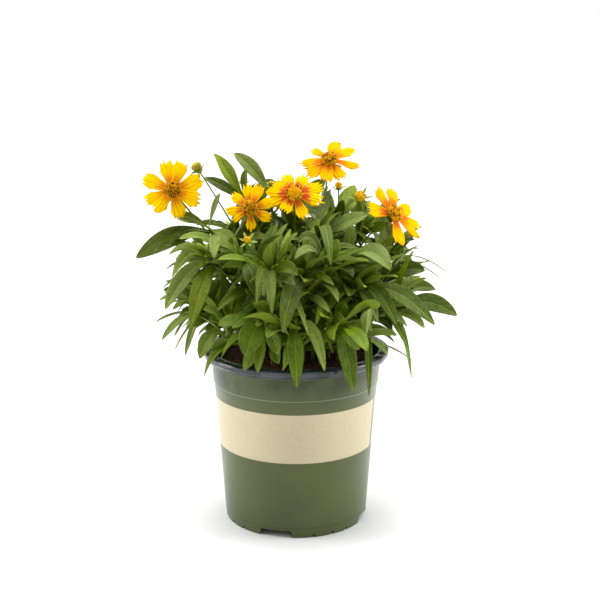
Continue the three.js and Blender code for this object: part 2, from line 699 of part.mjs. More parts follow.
function growPairs(stem) {
  const step = stem.plans.length > FEW_OWN_LEAVES ? 2 : 1;
  for (let pair = 0; pair < RULE.pairs.length; pair += step) {
    for (const side of [0, 180]) {
      const random = randomStream(stem.owner * 1000 + pair * 10 + (side ? 1 : 0));
      growLeaf(stem, RULE.pairs[pair], stem.owner * 47 + pair * 90 + side, random);
    }
  }
}

// ---- Blooms and buds -------------------------------------------------------------------------

// The frame of a bloom: X to the viewer's right, Y towards the top, Z the way it faces.
function bloomFrame({ centre, facing }) {
  const out = unit(facing);
  const top = unit(minus(UP, times(out, dot(UP, out))));
  const right = cross(top, out);
  return { out, top, right, centre };
}

const inFrame = (frame, [x, y, z]) => plus(frame.centre, plus(
  times(frame.right, x), plus(times(frame.top, y), times(frame.out, z)),
));

function frameMatrix({ out, top, right, centre }) {
  return new THREE.Matrix4()
    .makeBasis(vector(right), vector(top), vector(out))
    .setPosition(...centre);
}

// A ray's outline: a narrow claw that widens to a shoulder and ends in deep teeth.
function rayShape(width, length) {
  const half = width / 2;
  const shoulder = length - TOOTH_DEPTH * 1.2;
  const sides = RAY_SIDE.map(([across, along]) => [across * width, along * shoulder]);
  const teeth = [];
  for (let i = 0; i < RAY_TEETH; i += 1) {
    const across = half * 0.94 * (1 - 2 * (i + 0.5) / RAY_TEETH);
    teeth.push([across, length - 1.1 * Math.abs(across) / half]);
    if (i + 1 < RAY_TEETH) {
      const notchAcross = half * 0.94 * (1 - 2 * (i + 1) / RAY_TEETH);
      teeth.push([notchAcross, length - TOOTH_DEPTH]);
    }
  }
  const left = sides.map(([across, along]) => [-across, along]).reverse();
  const corners = [...sides, ...teeth, ...left];
  return new THREE.Shape(corners.map(([x, y]) => new THREE.Vector2(x, y + RAY_ROOT)));
}

// The height of a ray's face: it leaves the ring flat, then lifts or droops.
const rayHeight = (lift, along) => (
  Math.tan(lift * RADIANS) * Math.max(0, along - RAY_ROOT - 2) - 0.0016 * (along - RAY_ROOT) ** 2
);

function rays(bloom, frame) {
  let solid = toSolid(turned(RECEPTACLE, RECEPTACLE_FACETS));
  bloom.rays.forEach(([turn, width, share], i) => {
    const shape = rayShape(width, bloom.reach * share - RAY_ROOT);
    const ray = new THREE.ExtrudeGeometry(shape, { depth: RAY_THICKNESS, bevelEnabled: false });
    ray.translate(0, 0, (i % 2 ? RAY_LAYER : -RAY_LAYER) - RAY_THICKNESS / 2);
    const position = ray.attributes.position;
    for (let k = 0; k < position.count; k += 1) {
      position.setZ(k, position.getZ(k) + rayHeight(bloom.lift, position.getY(k)));
    }
    solid = solid.add(toSolid(ray.rotateZ(-turn * RADIANS)));
  });
  return solid.transform(frameMatrix(frame).elements);
}

// The dome of florets: every other corner of its rings stands out as the tip of a floret.
function disc({ reach }, frame) {
  const scale = Math.min(1, reach / FULL_DISC_REACH);
  const profile = [[0, DISC_UNDERSIDE], [DISC[0][0], DISC_UNDERSIDE], ...DISC, [0, DISC_TOP]]
    .map(([radius, height]) => [radius * scale, height]);
  const geometry = turned(profile, DISC_FACETS);
  const position = geometry.attributes.position;
  for (let k = 0; k < position.count; k += 1) {
    const ring = k % profile.length - 2;
    const facet = Math.floor(k / profile.length);
    if (ring >= 0 && ring < DISC.length && (ring + facet) % 2 === 0) {
      const point = [position.getX(k), position.getY(k), position.getZ(k)];
      const away = unit(plus(point, [0, 0, 3]));
      position.setXYZ(k, ...plus(point, times(away, FLORET_HEIGHT)));
    }
  }
  return toSolid(geometry).transform(frameMatrix(frame).elements);
}

// The green cup under a bloom or bud, with its ring of narrow bracts.
function cup(frame, scale, { count, length, width, root, level, droop }) {
  const profile = CUP.map(([radius, height]) => [radius * scale, height * scale]);
  let solid = toSolid(turned(profile, CUP_FACETS)).transform(frameMatrix(frame).elements);
  for (let i = 0; i < count; i += 1) {
    const spike = new THREE.ConeGeometry(width / 2, length, 3).scale(1, 1, BRACT_THICKNESS);
    spike.translate(0, length / 2, 0).rotateX(Math.atan2(droop, length));
    spike.translate(0, root, level).rotateZ((i + 0.5) * 2 * Math.PI / count);
    solid = solid.add(toSolid(spike).transform(frameMatrix(frame).elements));
  }
  return solid;
}

function budHead(bud, frame) {
  const { radius } = bud;
  const profile = [[0, -radius * 0.8]];
  for (let i = 1; i < BUD_SECTIONS; i += 1) {
    const angle = Math.PI * (i / BUD_SECTIONS - 0.5);
    profile.push([radius * Math.cos(angle), radius * 0.8 * Math.sin(angle)]);
  }
  profile.push([0, radius * 0.8]);
  return toSolid(turned(profile, BUD_FACETS)).transform(frameMatrix(frame).elements);
}

// A bud's cup is as wide as its head is at the height where they meet.
const budScale = ({ radius }) => radius * 0.62 / 6.2;
const budCupFrame = (bud, frame) => ({
  ...frame,
  centre: minus(frame.centre, times(frame.out, bud.radius * 0.8 + GAP - CUP_TOP * budScale(bud))),
});
const budBracts = (bud) => ({
  count: BUD_BRACTS, length: bud.bract, width: 2.2, root: 1.2 * budScale(bud),
  level: -3 * budScale(bud), droop: bud.bract * 0.25,
});

function claimDisc(frame, reach, heights, owner) {
  for (let x = -reach; x <= reach; x += 2) {
    for (let y = -reach; y <= reach; y += 2) {
      if (Math.hypot(x, y) > reach) continue;
      for (const height of heights) claim(inFrame(frame, [x, y, height]), owner * 2 + 1);
    }
  }
}

// ---- Assembly --------------------------------------------------------------------------------

const coreopsis = new THREE.Group();
coreopsis.name = 'coreopsis';

const stems = [];

function addStem(name, radius, stalk, plans, foot) {
  const stem = {
    name, radius, stalk, foot, plans, owner: stems.length, blades: [],
    solid: tube(stalk, radius, true),
  };
  stems.push(stem);
  claimStalk(stalk, stem.owner);
  return stem;
}

for (const plan of LEAFY_STEMS) {
  addStem(`stem_${plan.name}`, LEAFY_RADIUS, leafyStalk(plan), plan.leaves, plan.foot);
}
const leafyCount = stems.length;

for (const bloom of BLOOMS) {
  const frame = bloomFrame(bloom);
  const top = minus(frame.centre, times(frame.out, CUP_DEPTH));
  const stalk = aimedStalk([...bloom.foot, STEM_START], UP, top, frame.out);
  const leaves = bloom.name === 'flower_5' ? FLOWER_5_LEAVES : [];
  const stem = addStem(`stem_${bloom.name}`, FLOWER_RADIUS, stalk, leaves, bloom.foot);
  stem.solid = stem.solid.add(cup(frame, 1, OUTER_BRACTS));
  claimDisc(frame, bloom.reach + 1, [-2, 1], stem.owner);
  claimDisc(frame, 12, [-6, 4], stem.owner);
  coreopsis.add(toMesh(rays(bloom, frame), `rays_${bloom.name}`, COLOURS.ray, 0.6));
  coreopsis.add(toMesh(disc(bloom, frame), `disc_${bloom.name}`, COLOURS.disc, 0.8));
}

for (const bud of BUDS) {
  const frame = bloomFrame(bud);
  const cupFrame = budCupFrame(bud, frame);
  const top = minus(cupFrame.centre, times(frame.out, CUP_DEPTH * budScale(bud)));
  let stem = stems.find(({ name }) => name === `stem_${bud.branchOf}`);
  if (stem) {
    const start = pointOn(stem.stalk, bud.at);
    const branch = aimedStalk(start, directionOn(stem.stalk, bud.at), top, frame.out);
    stem.solid = stem.solid.add(tube(branch, BUD_RADIUS, false));
    claimStalk(branch, stem.owner);
  } else {
    const stalk = aimedStalk([...bud.foot, STEM_START], UP, top, frame.out);
    const leaves = bud.name === 'bud_6' ? BUD_6_LEAVES : [];
    stem = addStem(`stem_${bud.name}`, BUD_RADIUS, stalk, leaves, bud.foot);
  }
  stem.solid = stem.solid.add(cup(cupFrame, budScale(bud), budBracts(bud)));
  claimDisc(frame, bud.bract, [-4, 0, 4], stem.owner);
  coreopsis.add(toMesh(budHead(bud, frame), bud.name, COLOURS.disc, 0.7));
}

for (const stem of stems) {
  for (const plan of stem.plans) placeLeaf(plan, stem);
}
for (const stem of stems.slice(0, leafyCount)) growPairs(stem);
for (const stem of stems) {
  const solid = stem.blades.reduce((whole, blade) => whole.add(blade), stem.solid);
  coreopsis.add(toMesh(outerSkin(solid), stem.name, COLOURS.leaf, 0.55));
}

coreopsis.add(pot());
coreopsis.add(soil(stems));

export default coreopsis;
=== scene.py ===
"""A tickseed (Coreopsis) in flower in its nursery pot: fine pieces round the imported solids.

The stems, leaves, blooms and buds are grown again here by the same plan and the same rules as
the solids, in millimetres, so every fine blade lies where its solid lies. Smaller leaves then
fill the room that is left between them.
"""

import math

import bmesh
import bpy
import numpy as np
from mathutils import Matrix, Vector


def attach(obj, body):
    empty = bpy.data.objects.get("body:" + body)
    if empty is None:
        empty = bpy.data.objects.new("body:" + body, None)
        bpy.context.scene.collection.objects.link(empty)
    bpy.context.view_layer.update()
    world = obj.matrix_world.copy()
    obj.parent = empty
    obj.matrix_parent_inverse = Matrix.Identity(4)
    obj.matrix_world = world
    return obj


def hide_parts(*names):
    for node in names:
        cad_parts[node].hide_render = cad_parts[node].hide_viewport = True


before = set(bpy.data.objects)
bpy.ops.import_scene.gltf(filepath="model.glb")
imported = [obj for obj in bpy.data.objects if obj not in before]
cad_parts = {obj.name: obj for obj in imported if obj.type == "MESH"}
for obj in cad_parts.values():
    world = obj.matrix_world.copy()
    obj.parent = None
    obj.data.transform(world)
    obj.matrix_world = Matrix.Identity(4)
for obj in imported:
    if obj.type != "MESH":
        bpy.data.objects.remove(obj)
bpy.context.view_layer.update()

MM = 0.001  # the plan is in millimetres and Blender in metres

# ---- Sizes repeated from the solids ----

GAP = 0.3  # between seated solids

# The pot: radii, and levels above the ground.
RIM_RADIUS = 84
RIM_TOP = 157.3
RIM_WIDEST_LEVEL = 154.3
LIP_LEVEL = 148.4
LIP_RADIUS = 78.4
RIM_INNER_RADIUS = 75
FOOT_RADIUS = 64.6
BODY_TOP_RADIUS = 75.7
COLLAR_LEVEL = 128
COLLAR_STEP = 0.7
WALL = 1.5
FOOT_WIDTH = 2.4
FLOOR_UNDERSIDE = 7.5
FLOOR_TOP = 9
WIDE_NOTCH = dict(count=4, first=-16, foot=31, top=27, height=6.5)
SMALL_NOTCH = dict(turns=(30, 46, 60), foot=5, top=2.4, height=2.6)
NOTCH_REACH = 6
DRAIN_HOLE = dict(count=4, first=31, radius=6, from_axis=46)

# The soil and the stalks in it.
SOIL_EDGE_LEVEL = 148
SOIL_LEVEL = 151.5
STEM_START = 154
LEAFY_RADIUS = 1.6
FLOWER_RADIUS = 1.2
BUD_RADIUS = 1

# A leaf's outline and fold, as shares of its length and half width.
WIDEST_AT = 0.56
PETIOLE_SHARE = 0.16
BLADE_FOLD = 0.22

# The record of the space that is taken, and the limits that large leaves keep to.
SPACE_CORNER = (-180, -150, 0)
SPACE_SIZE = (360, 300, 360)
CELL = 2.2
CLEARANCE = 2.2
SAMPLE_STEP = 1.4
TIP_SHIFTS = (0, -5, 5, -10, 10, -15, 15, -20, 20, -26, 26)
SHIFT_WAY = np.array([0, 1, -0.2])
RISE_SHARES = (1, 1.6, 0.4)
OWN_SHARE = 0.35
HALF_WIDTH_LIMIT = 138
HALF_DEPTH_LIMIT = 112
LOWEST_LEAF = 124
RIM_CLEARANCE = 4

# Blooms and buds, and the levels round a head's middle that leaves keep out of.
CUP_DEPTH = 5
CUP_TOP = 1.25
BUD_CUP_SHARE = 0.62 / 6.2
RAY_ROOT = 5.4
RAY_LAYER = 0.45
OUTER_BRACTS = dict(count=8, length=9, width=3, root=3, level=-4, droop=-1.5)
BUD_BRACTS = dict(count=6, width=2.2)
RAY_HEIGHTS = (-2, 1)
CUP_HEIGHTS = (-6, 4)
CUP_REACH = 12
BUD_HEIGHTS = (-4, 0, 4)

# Leaves that grow by rule: where on a stem their pairs stand, how often one is tried, from what
# to what its length, width and pitch are, and how far it turns, arches and rolls.
RULE = dict(
    pairs=(0.22, 0.46, 0.7, 0.93), tries=14, length=(34, 64), width=(7, 12.5),
    outward=(-30, 40), inward=(15, 66), turn=66, rise=0.13, roll=48,
)
FEW_OWN_LEAVES = 2  # a stem with more leaves of its own grows only every other pair by rule

# ---- The plant's plan, repeated from the solids ----

# A leaf: where it leaves its stem, its tip, its width, how far its middle arches up, and how far
# its face is turned from upwards to the front, in degrees.
LEAFY_STEMS = {
    "left_upper": ((-23, -6), (-78, -12, 269), [
        (0.90, (-142, -5, 239), 16, 9, 62), (0.97, (-65, -18, 299), 5, 3, 30),
        (0.95, (-109, -4, 279), 8, 3, 55), (0.99, (-107, -4, 276), 8, 3, 75),
        (0.86, (-68, -62, 249), 9, 6, 60), (0.92, (-49, -50, 254), 11, 5, 60),
    ]),
    "left_front": ((-30, -13), (-77, -38, 246), [
        (0.98, (-102, -20, 252), 10, 3, 55), (0.98, (-105, -48, 230), 13, 12, 45),
        (0.90, (-112, -30, 220), 5, 4, 40), (0.92, (-112, -52, 203), 14, 10, 50),
        (0.86, (-87, -66, 192), 14, 10, 60),
    ]),
    "left_low": ((-38, -6), (-86, -22, 193), [
        (0.98, (-119, -20, 168), 7, 6, 40), (0.97, (-110, -5, 167), 5, 6, 20),
        (0.90, (-111, -12, 154), 5, 6, 30), (0.93, (-97, -34, 157), 6, 8, 30),
        (0.85, (-106, 0, 172), 6, 5, 30),
    ]),
    "left_rim": ((-36, -26), (-60, -54, 179), [
        (0.98, (-82, -60, 162), 11, 12, 45), (0.55, (-77, -76, 151), 9, 10, 45),
    ]),
    "front_mid": ((7, -28), (6, -64, 235), [
        (0.97, (-10, -110, 197), 14, 12, 50), (0.45, (31, -86, 174), 10, 8, 50),
        (0.60, (28, -96, 211), 7, 6, 50), (0.99, (32, -84, 231), 6, 4, 50),
    ]),
    "front_star": ((-7, -33), (-22, -76, 241), [
        (0.98, (-43, -86, 257), 6, 5, 50), (0.98, (-32, -108, 219), 8, 14, 50),
        (0.98, (-19, -101, 211), 9, 14, 50), (0.96, (-12, -92, 231), 6, 6, 50),
        (0.92, (2, -92, 241), 11, 6, 55), (0.70, (11, -112, 194), 5, 14, 30),
    ]),
    "front_left": ((-15, -24), (-45, -62, 247), [
        (0.95, (-30, -100, 221), 14, 9, 50), (0.98, (-69, -78, 249), 8, 4, 50),
        (0.88, (-25, -88, 222), 12, 6, 50), (0.45, (-66, -72, 206), 9, 12, 50),
    ]),
    "front_low": ((-20, -40), (-26, -72, 195), [
        (0.98, (-41, -96, 174), 17, 10, 60), (0.55, (-43, -90, 160), 9, 6, 40),
        (0.50, (-63, -74, 166), 9, 8, 50), (0.75, (-31, -94, 160), 7, 5, 40),
        (0.85, (-14, -84, 173), 9, 5, 70),
    ]),
    "front_rim": ((0, -45), (-4, -76, 185), [
        (0.88, (1, -104, 149), 11, 22, 45), (0.96, (24, -100, 162), 9, 16, 40),
        (0.50, (-11, -90, 160), 7, 8, 45),
    ]),
    "front_right": ((15, -22), (26, -58, 242), [
        (0.98, (-1, -92, 254), 9, 12, 40), (0.98, (2, -76, 265), 9, 14, 40),
        (0.94, (42, -74, 257), 4, 4, 60), (0.90, (56, -52, 256), 6, 4, 60),
    ]),
    "top_front": ((7, -12), (19, -32, 265), [
        (0.98, (61, -58, 286), 12, 2, 60), (0.96, (29, -84, 247), 9, 12, 50),
        (0.90, (31, 20, 298), 9, 2, 60),
    ]),
    "right_upper": ((23, -9), (47, -28, 242), [
        (0.99, (79, -76, 242), 17, 12, 40), (0.90, (86, -6, 250), 9, 3, 60),
        (0.50, (95, -60, 190), 12, 10, 55),
    ]),
    "right_front": ((29, -20), (56, -50, 223), [
        (0.97, (120, -46, 188), 14, 12, 55), (0.98, (84, -78, 196), 12, 12, 50),
        (0.88, (69, -86, 200), 9, 8, 50), (0.75, (30, -88, 212), 13, 10, 50),
    ]),
    "right_rim": ((21, -39), (35, -68, 190), [
        (0.80, (48, -92, 142), 12, 20, 45), (0.98, (52, -84, 176), 15, 10, 50),
        (0.90, (17, -86, 198), 5, 12, 50),
    ]),
    "right_low": ((37, -27), (62, -52, 176), [
        (0.95, (62, -78, 133), 6, 20, 40), (0.98, (80, -34, 159), 5, 4, 60),
        (0.90, (107, -4, 144), 4, 4, 30),
    ]),
    "right_out": ((42, -9), (88, -18, 196), [
        (0.98, (144, -10, 188), 15, 9, 60), (0.96, (103, -10, 130), 5, 12, 10),
        (0.80, (99, -32, 162), 6, 8, 50),
    ]),
    "right_mid": ((34, 2), (78, 2, 215), [
        (0.98, (115, -5, 228), 14, 6, 60),
    ]),
    "right_back": ((26, 11), (94, 20, 238), [
        (0.98, (141, 25, 218), 5, 6, 0), (0.94, (136, 45, 210), 4, 4, 0),
        (0.84, (107, -2, 256), 7, 6, 40), (0.92, (104, 34, 239), 8, 5, 50),
    ]),
    "top_left": ((-11, 12), (-48, 20, 291), [
        (0.99, (-73, 14, 330), 12, 2, 50), (0.90, (-83, 26, 307), 9, 4, 55),
    ]),
    "top_right": ((11, 14), (38, 24, 267), [
        (0.99, (55, 28, 302), 16, 2, 60), (0.90, (43, 2, 291), 8, 3, 60),
    ]),
    "left_back": ((-34, 12), (-84, 45, 227), []),
    "left_far": ((-42, 25), (-94, 52, 189), []),
    "back_left": ((-21, 30), (-62, 85, 219), []),
    "back_mid": ((0, 40), (-11, 92, 229), [
        (0.95, (-24, 112, 190), 13, 14, 0),
    ]),
    "back_right": ((20, 33), (46, 88, 222), []),
    "right_far": ((37, 20), (91, 58, 197), []),
    "left_inner": ((-30, 22), (-56, 52, 254), []),
    "back_inner": ((0, 24), (-4, 52, 264), [
        (0.98, (28, 52, 303), 14, 4, 60),
    ]),
    "right_inner": ((28, 24), (62, 46, 256), [
        (0.98, (50, 54, 295), 12, 3, 60),
    ]),
    "back_low": ((-12, 46), (-36, 102, 186), []),
    "back_rim": ((14, 46), (26, 102, 184), []),
}

# A bloom: its foot, the middle of its ring of rays, the way it faces, the reach of its rays, how
# far they lift, and each ray's turn, width and length as a share of the reach. Then its looks:
# how orange its rays are, how strong the flush at their base is, and of its disc, how much is
# open, how many of the open florets are dark, and how bright the gold is.
BLOOMS = {
    "flower_1": ((-23, 5), (-107, -10, 300), (0, -0.96, 0.28), 27, 0, [
        (-15, 13.5, 1), (18, 13, 1.05), (69, 16, 1), (111, 16, 0.98),
        (164, 14, 0.9), (220, 13, 0.86), (250, 12, 1), (294, 14, 1.06)],
        0.02, 0.3, (0.8, 0.24, 0.2)),
    "flower_2": ((-9, -18), (-39, -24, 286), (0.05, -0.95, 0.3), 21, -4, [
        (-7, 9.5, 1.08), (23, 10.5, 1.1), (71, 10.5, 1), (119, 10, 0.94),
        (178, 9.5, 0.92), (235, 6, 0.92), (264, 9.5, 0.98), (310, 9.5, 0.98)],
        0.05, 0.5, (0.7, 0.3, 0.4)),
    "flower_3": ((0, -2), (-1, -12, 297), (0, -0.79, 0.61), 25, -6, [
        (-20, 11.5, 1.02), (24, 12.5, 0.88), (66, 12.5, 1.02), (104, 13.5, 1.03), (159, 11.5, 1),
        (209, 12, 0.8), (255, 13, 1), (282, 12, 0.98), (308, 10, 0.96)],
        0.02, 0.92, (0.22, 0.6, 1)),
    "flower_4": ((8, 3), (30, 20, 323), (0.05, -0.65, 0.76), 27, -9, [
        (-36, 9.5, 0.9), (17, 13, 1.04), (49, 11.5, 1.14), (98, 10, 1.02),
        (149, 12.5, 0.84), (192, 13, 0.9), (234, 13, 0.98), (269, 13.5, 0.97)],
        0.75, 0.4, (0.85, 0.26, 0.3)),
    "flower_5": ((17, 2), (86, 0, 278), (0.57, -0.655, 0.49), 30, -3, [
        (-13, 12, 0.96), (26, 13.5, 1), (80, 13, 0.92), (114, 9.5, 1.08),
        (133, 8.5, 1.12), (187, 14, 0.92), (290, 14.5, 0.92)], 0.72, 0.62, (0.8, 0.2, 0.7)),
}

# A bud: its foot or the stem that it branches from and where, the middle of its head, the way
# it points, the radius of its head, the length of its bracts, and how far open its head is.
BUDS = {
    "bud_1": (None, (-15, 3), (-87, 0, 320), (-0.5, -0.2, 0.84), 4.8, 9, 0),
    "bud_2": ("front_left", 0.88, (-40, -64, 266), (0, -0.75, 0.65), 2.8, 9, 0.6),
    "bud_3": (None, (18, 15), (57, 6, 293), (0.1, -0.75, 0.65), 5, 14, 1),
    "bud_4": ("top_right", 0.9, (39, 38, 299), (0, -0.3, 0.95), 3.4, 8, 0.55),
    "bud_5": ("top_left", 0.93, (-47, 34, 305), (0, -0.3, 0.95), 3.4, 7, 0),
    "bud_6": (None, (-3, 8), (-22, 10, 304), (0, -0.2, 0.98), 2.6, 10, 0),
}

STALK_LEAVES = {  # the large leaves on the stalks of blooms and buds
    "flower_5": [(0.80, (79, 6, 270), 9, 0, 60)],
    "bud_6": [(0.93, (-56, 30, 329), 12, 4, 50)],
}

# ---- Vectors and curves ----

UP = np.array([0.0, 0.0, 1.0])


def vector(*numbers):
    return np.array(numbers, float)


def unit(a):
    return a / np.sqrt(np.sum(a * a, axis=-1, keepdims=True))


def mix(a, b, t):
    return a * (1 - t) + b * t


def between(limits, draw):
    return limits[0] + (limits[1] - limits[0]) * draw


def smooth(value, low, high):
    """0 below low, 1 above high, and a smooth step between."""
    t = np.clip((value - low) / (high - low), 0, 1)
    return t * t * (3 - 2 * t)


def random_stream(seed):
    state = seed
    while True:
        state = (state * 1664525 + 1013904223) % 4294967296
        yield state / 4294967296


def level_way(turn):
    return vector(math.cos(turn), math.sin(turn), 0)


def turns(count):
    """Angles that go once round in equal steps."""
    return np.arange(count) * 2 * math.pi / count


def ring(angle, radius, level):
    """Points round the z axis, one at each angle."""
    levels = np.full(len(angle), level)
    return np.stack([radius * np.cos(angle), radius * np.sin(angle), levels], 1)


def around(middle, across, up, radius, angle):
    """Points round a middle, in the plane of two ways."""
    return (middle + across * (radius * np.cos(angle))[..., None]
            - up * (radius * np.sin(angle))[..., None])


def leafy_stalk(foot, top):
    """The four control points of a stalk that starts upright and then leans outwards."""
    start = vector(*foot, STEM_START)
    top = vector(*top)
    height = top[2] - STEM_START
    lean = mix(start, top, 0.62)
    return np.array([
        start, start + vector(0, 0, 0.45 * height),
        vector(lean[0], lean[1], STEM_START + 0.86 * height), top,
    ])


def aimed_stalk(start, leave, top, aim):
    """The four control points of a stalk with a way to leave by and a way to arrive by."""
    reach = 0.28 * math.dist(top, start)
    return np.array([start, start + leave * reach, top - aim * reach, top])


def point_on(stalk, t):
    t = np.asarray(t, float)[..., None]
    s = 1 - t
    a, b, c, d = stalk
    return (a * (s * s * s) + b * (3 * s * s * t)) + (c * (3 * s * t * t) + d * (t * t * t))


def direction_on(stalk, t):
    t = np.asarray(t, float)[..., None]
    s = 1 - t
    a, b, c, d = stalk
    return unit(((b - a) * (s * s) + (d - c) * (t * t)) + (c - b) * (2 * s * t))


def outline(share):
    """Half of a leaf's width as a share of half its greatest width."""
    inner = np.clip(share / WIDEST_AT, 0, 1)
    outer = np.clip((share - WIDEST_AT) / (1 - WIDEST_AT), 0, 1)
    base = PETIOLE_SHARE + (1 - PETIOLE_SHARE) * np.sin(math.pi / 2 * inner ** 1.5)
    end = np.maximum(np.cos(math.pi / 2 * outer), 0) ** 0.8
    return np.where(share < WIDEST_AT, base, end)


def full_outline(share):
    """The outline of a fine leaf, with a rounder end than its plain solid has."""
    outer = np.clip((share - WIDEST_AT) / (1 - WIDEST_AT), 0, 1)
    return np.where(share < WIDEST_AT, outline(share), (1 - outer ** 1.9) ** 0.78)


def blade_at(blade, shares):
    """Middle, way across, way up and half width of a blade at shares of its length."""
    t = shares[:, None]
    base, tip, rise, face, width = blade
    bend = mix(base, tip, 0.5) + vector(0, 0, 2 * rise)
    s = 1 - t
    middle = (base * (s * s) + tip * (t * t)) + bend * (2 * s * t)
    along = unit((bend - base) * s + (tip - bend) * t)
    across = unit(np.cross(along, face))
    return middle, across, np.cross(across, along), width / 2 * outline(shares)


# ---- Space that the plant fills ----

STALK_SLACK = 1.3  # a stalk's length is at most this much of its straight distance
BARE_SHARE = 0.2  # the inner part of a leaf, which may lie lower than the limits


class Space:
    """Which stem reaches into each cell of space, and whether with a blade."""

    EMPTY = -1
    SHARED = -2

    def __init__(self, cell, clearance):
        self.cell = cell
        self.cells = tuple(math.ceil(size / cell) for size in SPACE_SIZE)
        self.corner = np.floor(np.array(SPACE_CORNER) / cell).astype(int)
        self.owner = np.full(self.cells, self.EMPTY, np.int16).ravel()
        self.blade = np.zeros(self.owner.shape, bool)
        steps = (-clearance, 0, clearance)
        self.offsets = np.array([(x, y, z) for x in steps for y in steps for z in steps])

    def cells_of(self, points):
        cells = np.floor(points / self.cell).astype(int) - self.corner
        return np.ravel_multi_index(cells.reshape(-1, 3).T, self.cells, mode="clip")

    def claim(self, points, owner, blade):
        """blade says for each point whether it belongs to a blade."""
        cells = self.cells_of(points[:, None] + self.offsets)
        held = self.owner[cells]
        free = (held == self.EMPTY) | (held == owner)
        self.owner[cells] = np.where(free, owner, self.SHARED)
        self.blade[cells[np.repeat(blade, len(self.offsets))]] = True

    def is_free(self, points, shares, owner):
        cells = self.cells_of(points)
        held = self.owner[cells]
        own = (held == owner) & ((shares < OWN_SHARE) | ~self.blade[cells])
        return bool(np.all((held == self.EMPTY) | own))

    def claim_stalk(self, stalk, owner):
        steps = math.ceil(math.dist(stalk[3], stalk[0]) * STALK_SLACK / SAMPLE_STEP)
        points = point_on(stalk, np.arange(steps + 1) / steps)
        self.claim(points, owner, np.zeros(len(points), bool))

    def claim_disc(self, bloom, reach, heights, owner):
        steps = np.arange(-reach, reach + 0.001, 2)
        points = [(x, y, z) for x in steps for y in steps for z in heights
                  if math.hypot(x, y) <= reach]
        self.claim(bloom.place(points), owner, np.ones(len(points), bool))

    def claim_blade(self, blade, owner, limits=None):
        """Claim a blade's room, unless it breaks the limits or meets another stem."""
        shares, points = blade_points(blade)
        if limits and not (limits(points, shares) and self.is_free(points, shares, owner)):
            return False
        self.claim(points, owner, shares >= OWN_SHARE)
        return True


def blade_points(blade):
    """Points spread over a blade, each with its share of the blade's length."""
    base, tip, rise = blade[:3]
    rows = math.ceil((math.dist(tip, base) + 2 * rise) / SAMPLE_STEP)
    shares = np.arange(rows + 1) / rows
    middle, across, _, half = blade_at(blade, shares)
    columns = np.maximum(1, np.ceil(half / SAMPLE_STEP)).astype(int)
    row = np.repeat(np.arange(rows + 1), 2 * columns + 1)
    column = np.concatenate([np.arange(-count, count + 1) for count in columns])
    offset = half[row] * column / columns[row]
    return shares[row], middle[row] + across[row] * offset[:, None]


def inside_limits(points, shares):
    x, y, z = points.T
    over_rim = np.hypot(x, y) < RIM_RADIUS + RIM_CLEARANCE
    clear = (z > LOWEST_LEAF) & ~(over_rim & (z < RIM_TOP + RIM_CLEARANCE))
    return bool(np.all(clear | (shares < BARE_SHARE)))


def over_soil(points, shares):
    """The looser limits of the small leaves, which may lie low inside the rim."""
    x, y, z = points.T
    from_axis = np.hypot(x, y)
    low = np.where(from_axis < SKIRT["radius"], SOIL_LEVEL + 1, RIM_TOP + 1)
    low = np.where(from_axis > RIM_RADIUS + 2, LOWEST_LEAF, low)
    low = np.where((from_axis > SKIRT["radius"]) & (y < SKIRT["front"]), SKIRT["level"], low)
    airy = (x > AIRY["left"]) & (x < AIRY["right"]) & (z > AIRY["bottom"])
    return bool(np.all((z > low) | (shares < BARE_SHARE / 2)) and np.all(z < HIGHEST_SMALL_LEAF)
                and not np.any(airy & (shares > 0.5)))


def clear_of(heads):
    """Limits of the small leaves that also keep them from hiding a bloom or its stalk."""
    def limits(points, shares):
        if not over_soil(points, shares):
            return False
        for centre, reach in heads:
            sight = unit(FRONT_SIGHT - centre)
            off = points - centre
            ahead = off @ sight
            apart = np.linalg.norm(off - ahead[:, None] * sight, axis=1)
            if np.any((ahead > 0) & (apart < reach + HEAD_CLEARANCE)):
                return False
        return True
    return limits


# ---- Leaves' places ----

# The small leaves that fill the room between the others. Each rule also has looks: from how young
# to how young its leaves are, and their tones. The filling and lowest leaves take only the darker
# tones, partly the darker green of older leaves and partly painted shade for the depth of the
# plant.
FILL = dict(
    pairs=np.linspace(0.16, 0.88, 13).round(2), tries=14, length=(24, 58), width=(7, 13),
    outward=(-26, 52), inward=(0, 66), turn=75, rise=0.18, roll=50, youth=(0, 0.5), tone=(0, 0.6),
)
CROWN = dict(
    pairs=(0.62, 0.72, 0.82, 0.91), tries=24, length=(34, 60), width=(9, 14),
    outward=(10, 70), inward=(20, 80), turn=80, rise=0.12, roll=50, youth=(0.1, 0.6),
)
# Darker tones only: partly older leaves' green, partly painted shade low in the plant.
BASAL = dict(
    pairs=(0.02, 0.05, 0.08, 0.11), tries=12, length=(34, 72), width=(8, 13),
    outward=(2, 46), inward=(24, 66), turn=60, rise=0.3, roll=40, youth=(0, 0.4), tone=(0, 0.5),
)
TIP = dict(
    pairs=(0.955, 0.97, 0.985, 0.995), tries=6, length=(10, 24), width=(2.6, 5.2),
    outward=(10, 74), inward=(30, 78), turn=50, rise=0.1, roll=40, youth=(0.6, 1),
)
TUFT = dict(
    pairs=(0.455, 0.465, 0.695, 0.705, 0.925, 0.935), tries=6, length=(12, 30), width=(2.4, 5.5),
    outward=(-10, 64), inward=(24, 74), turn=70, rise=0.12, roll=40, youth=(0.35, 0.9),
)
SCALES = dict(
    pairs=(0.45, 0.57, 0.69, 0.8), tries=8, length=(6, 13), width=(1.2, 2.2),
    outward=(10, 70), inward=(10, 70), turn=50, rise=0.1, roll=40, youth=(0.5, 1.2),
)
FINE_CELL = 1.0
FINE_CLEARANCE = 0.7
SKIRT = dict(radius=62, front=-30, level=180)  # beyond it small leaves stay above the rim
AIRY = dict(left=-100, right=-52, bottom=266)  # only thin stalks stand here
HIGHEST_SMALL_LEAF = 304
FRONT_SIGHT = vector(0, -1000, 420)
HEAD_CLEARANCE = 2
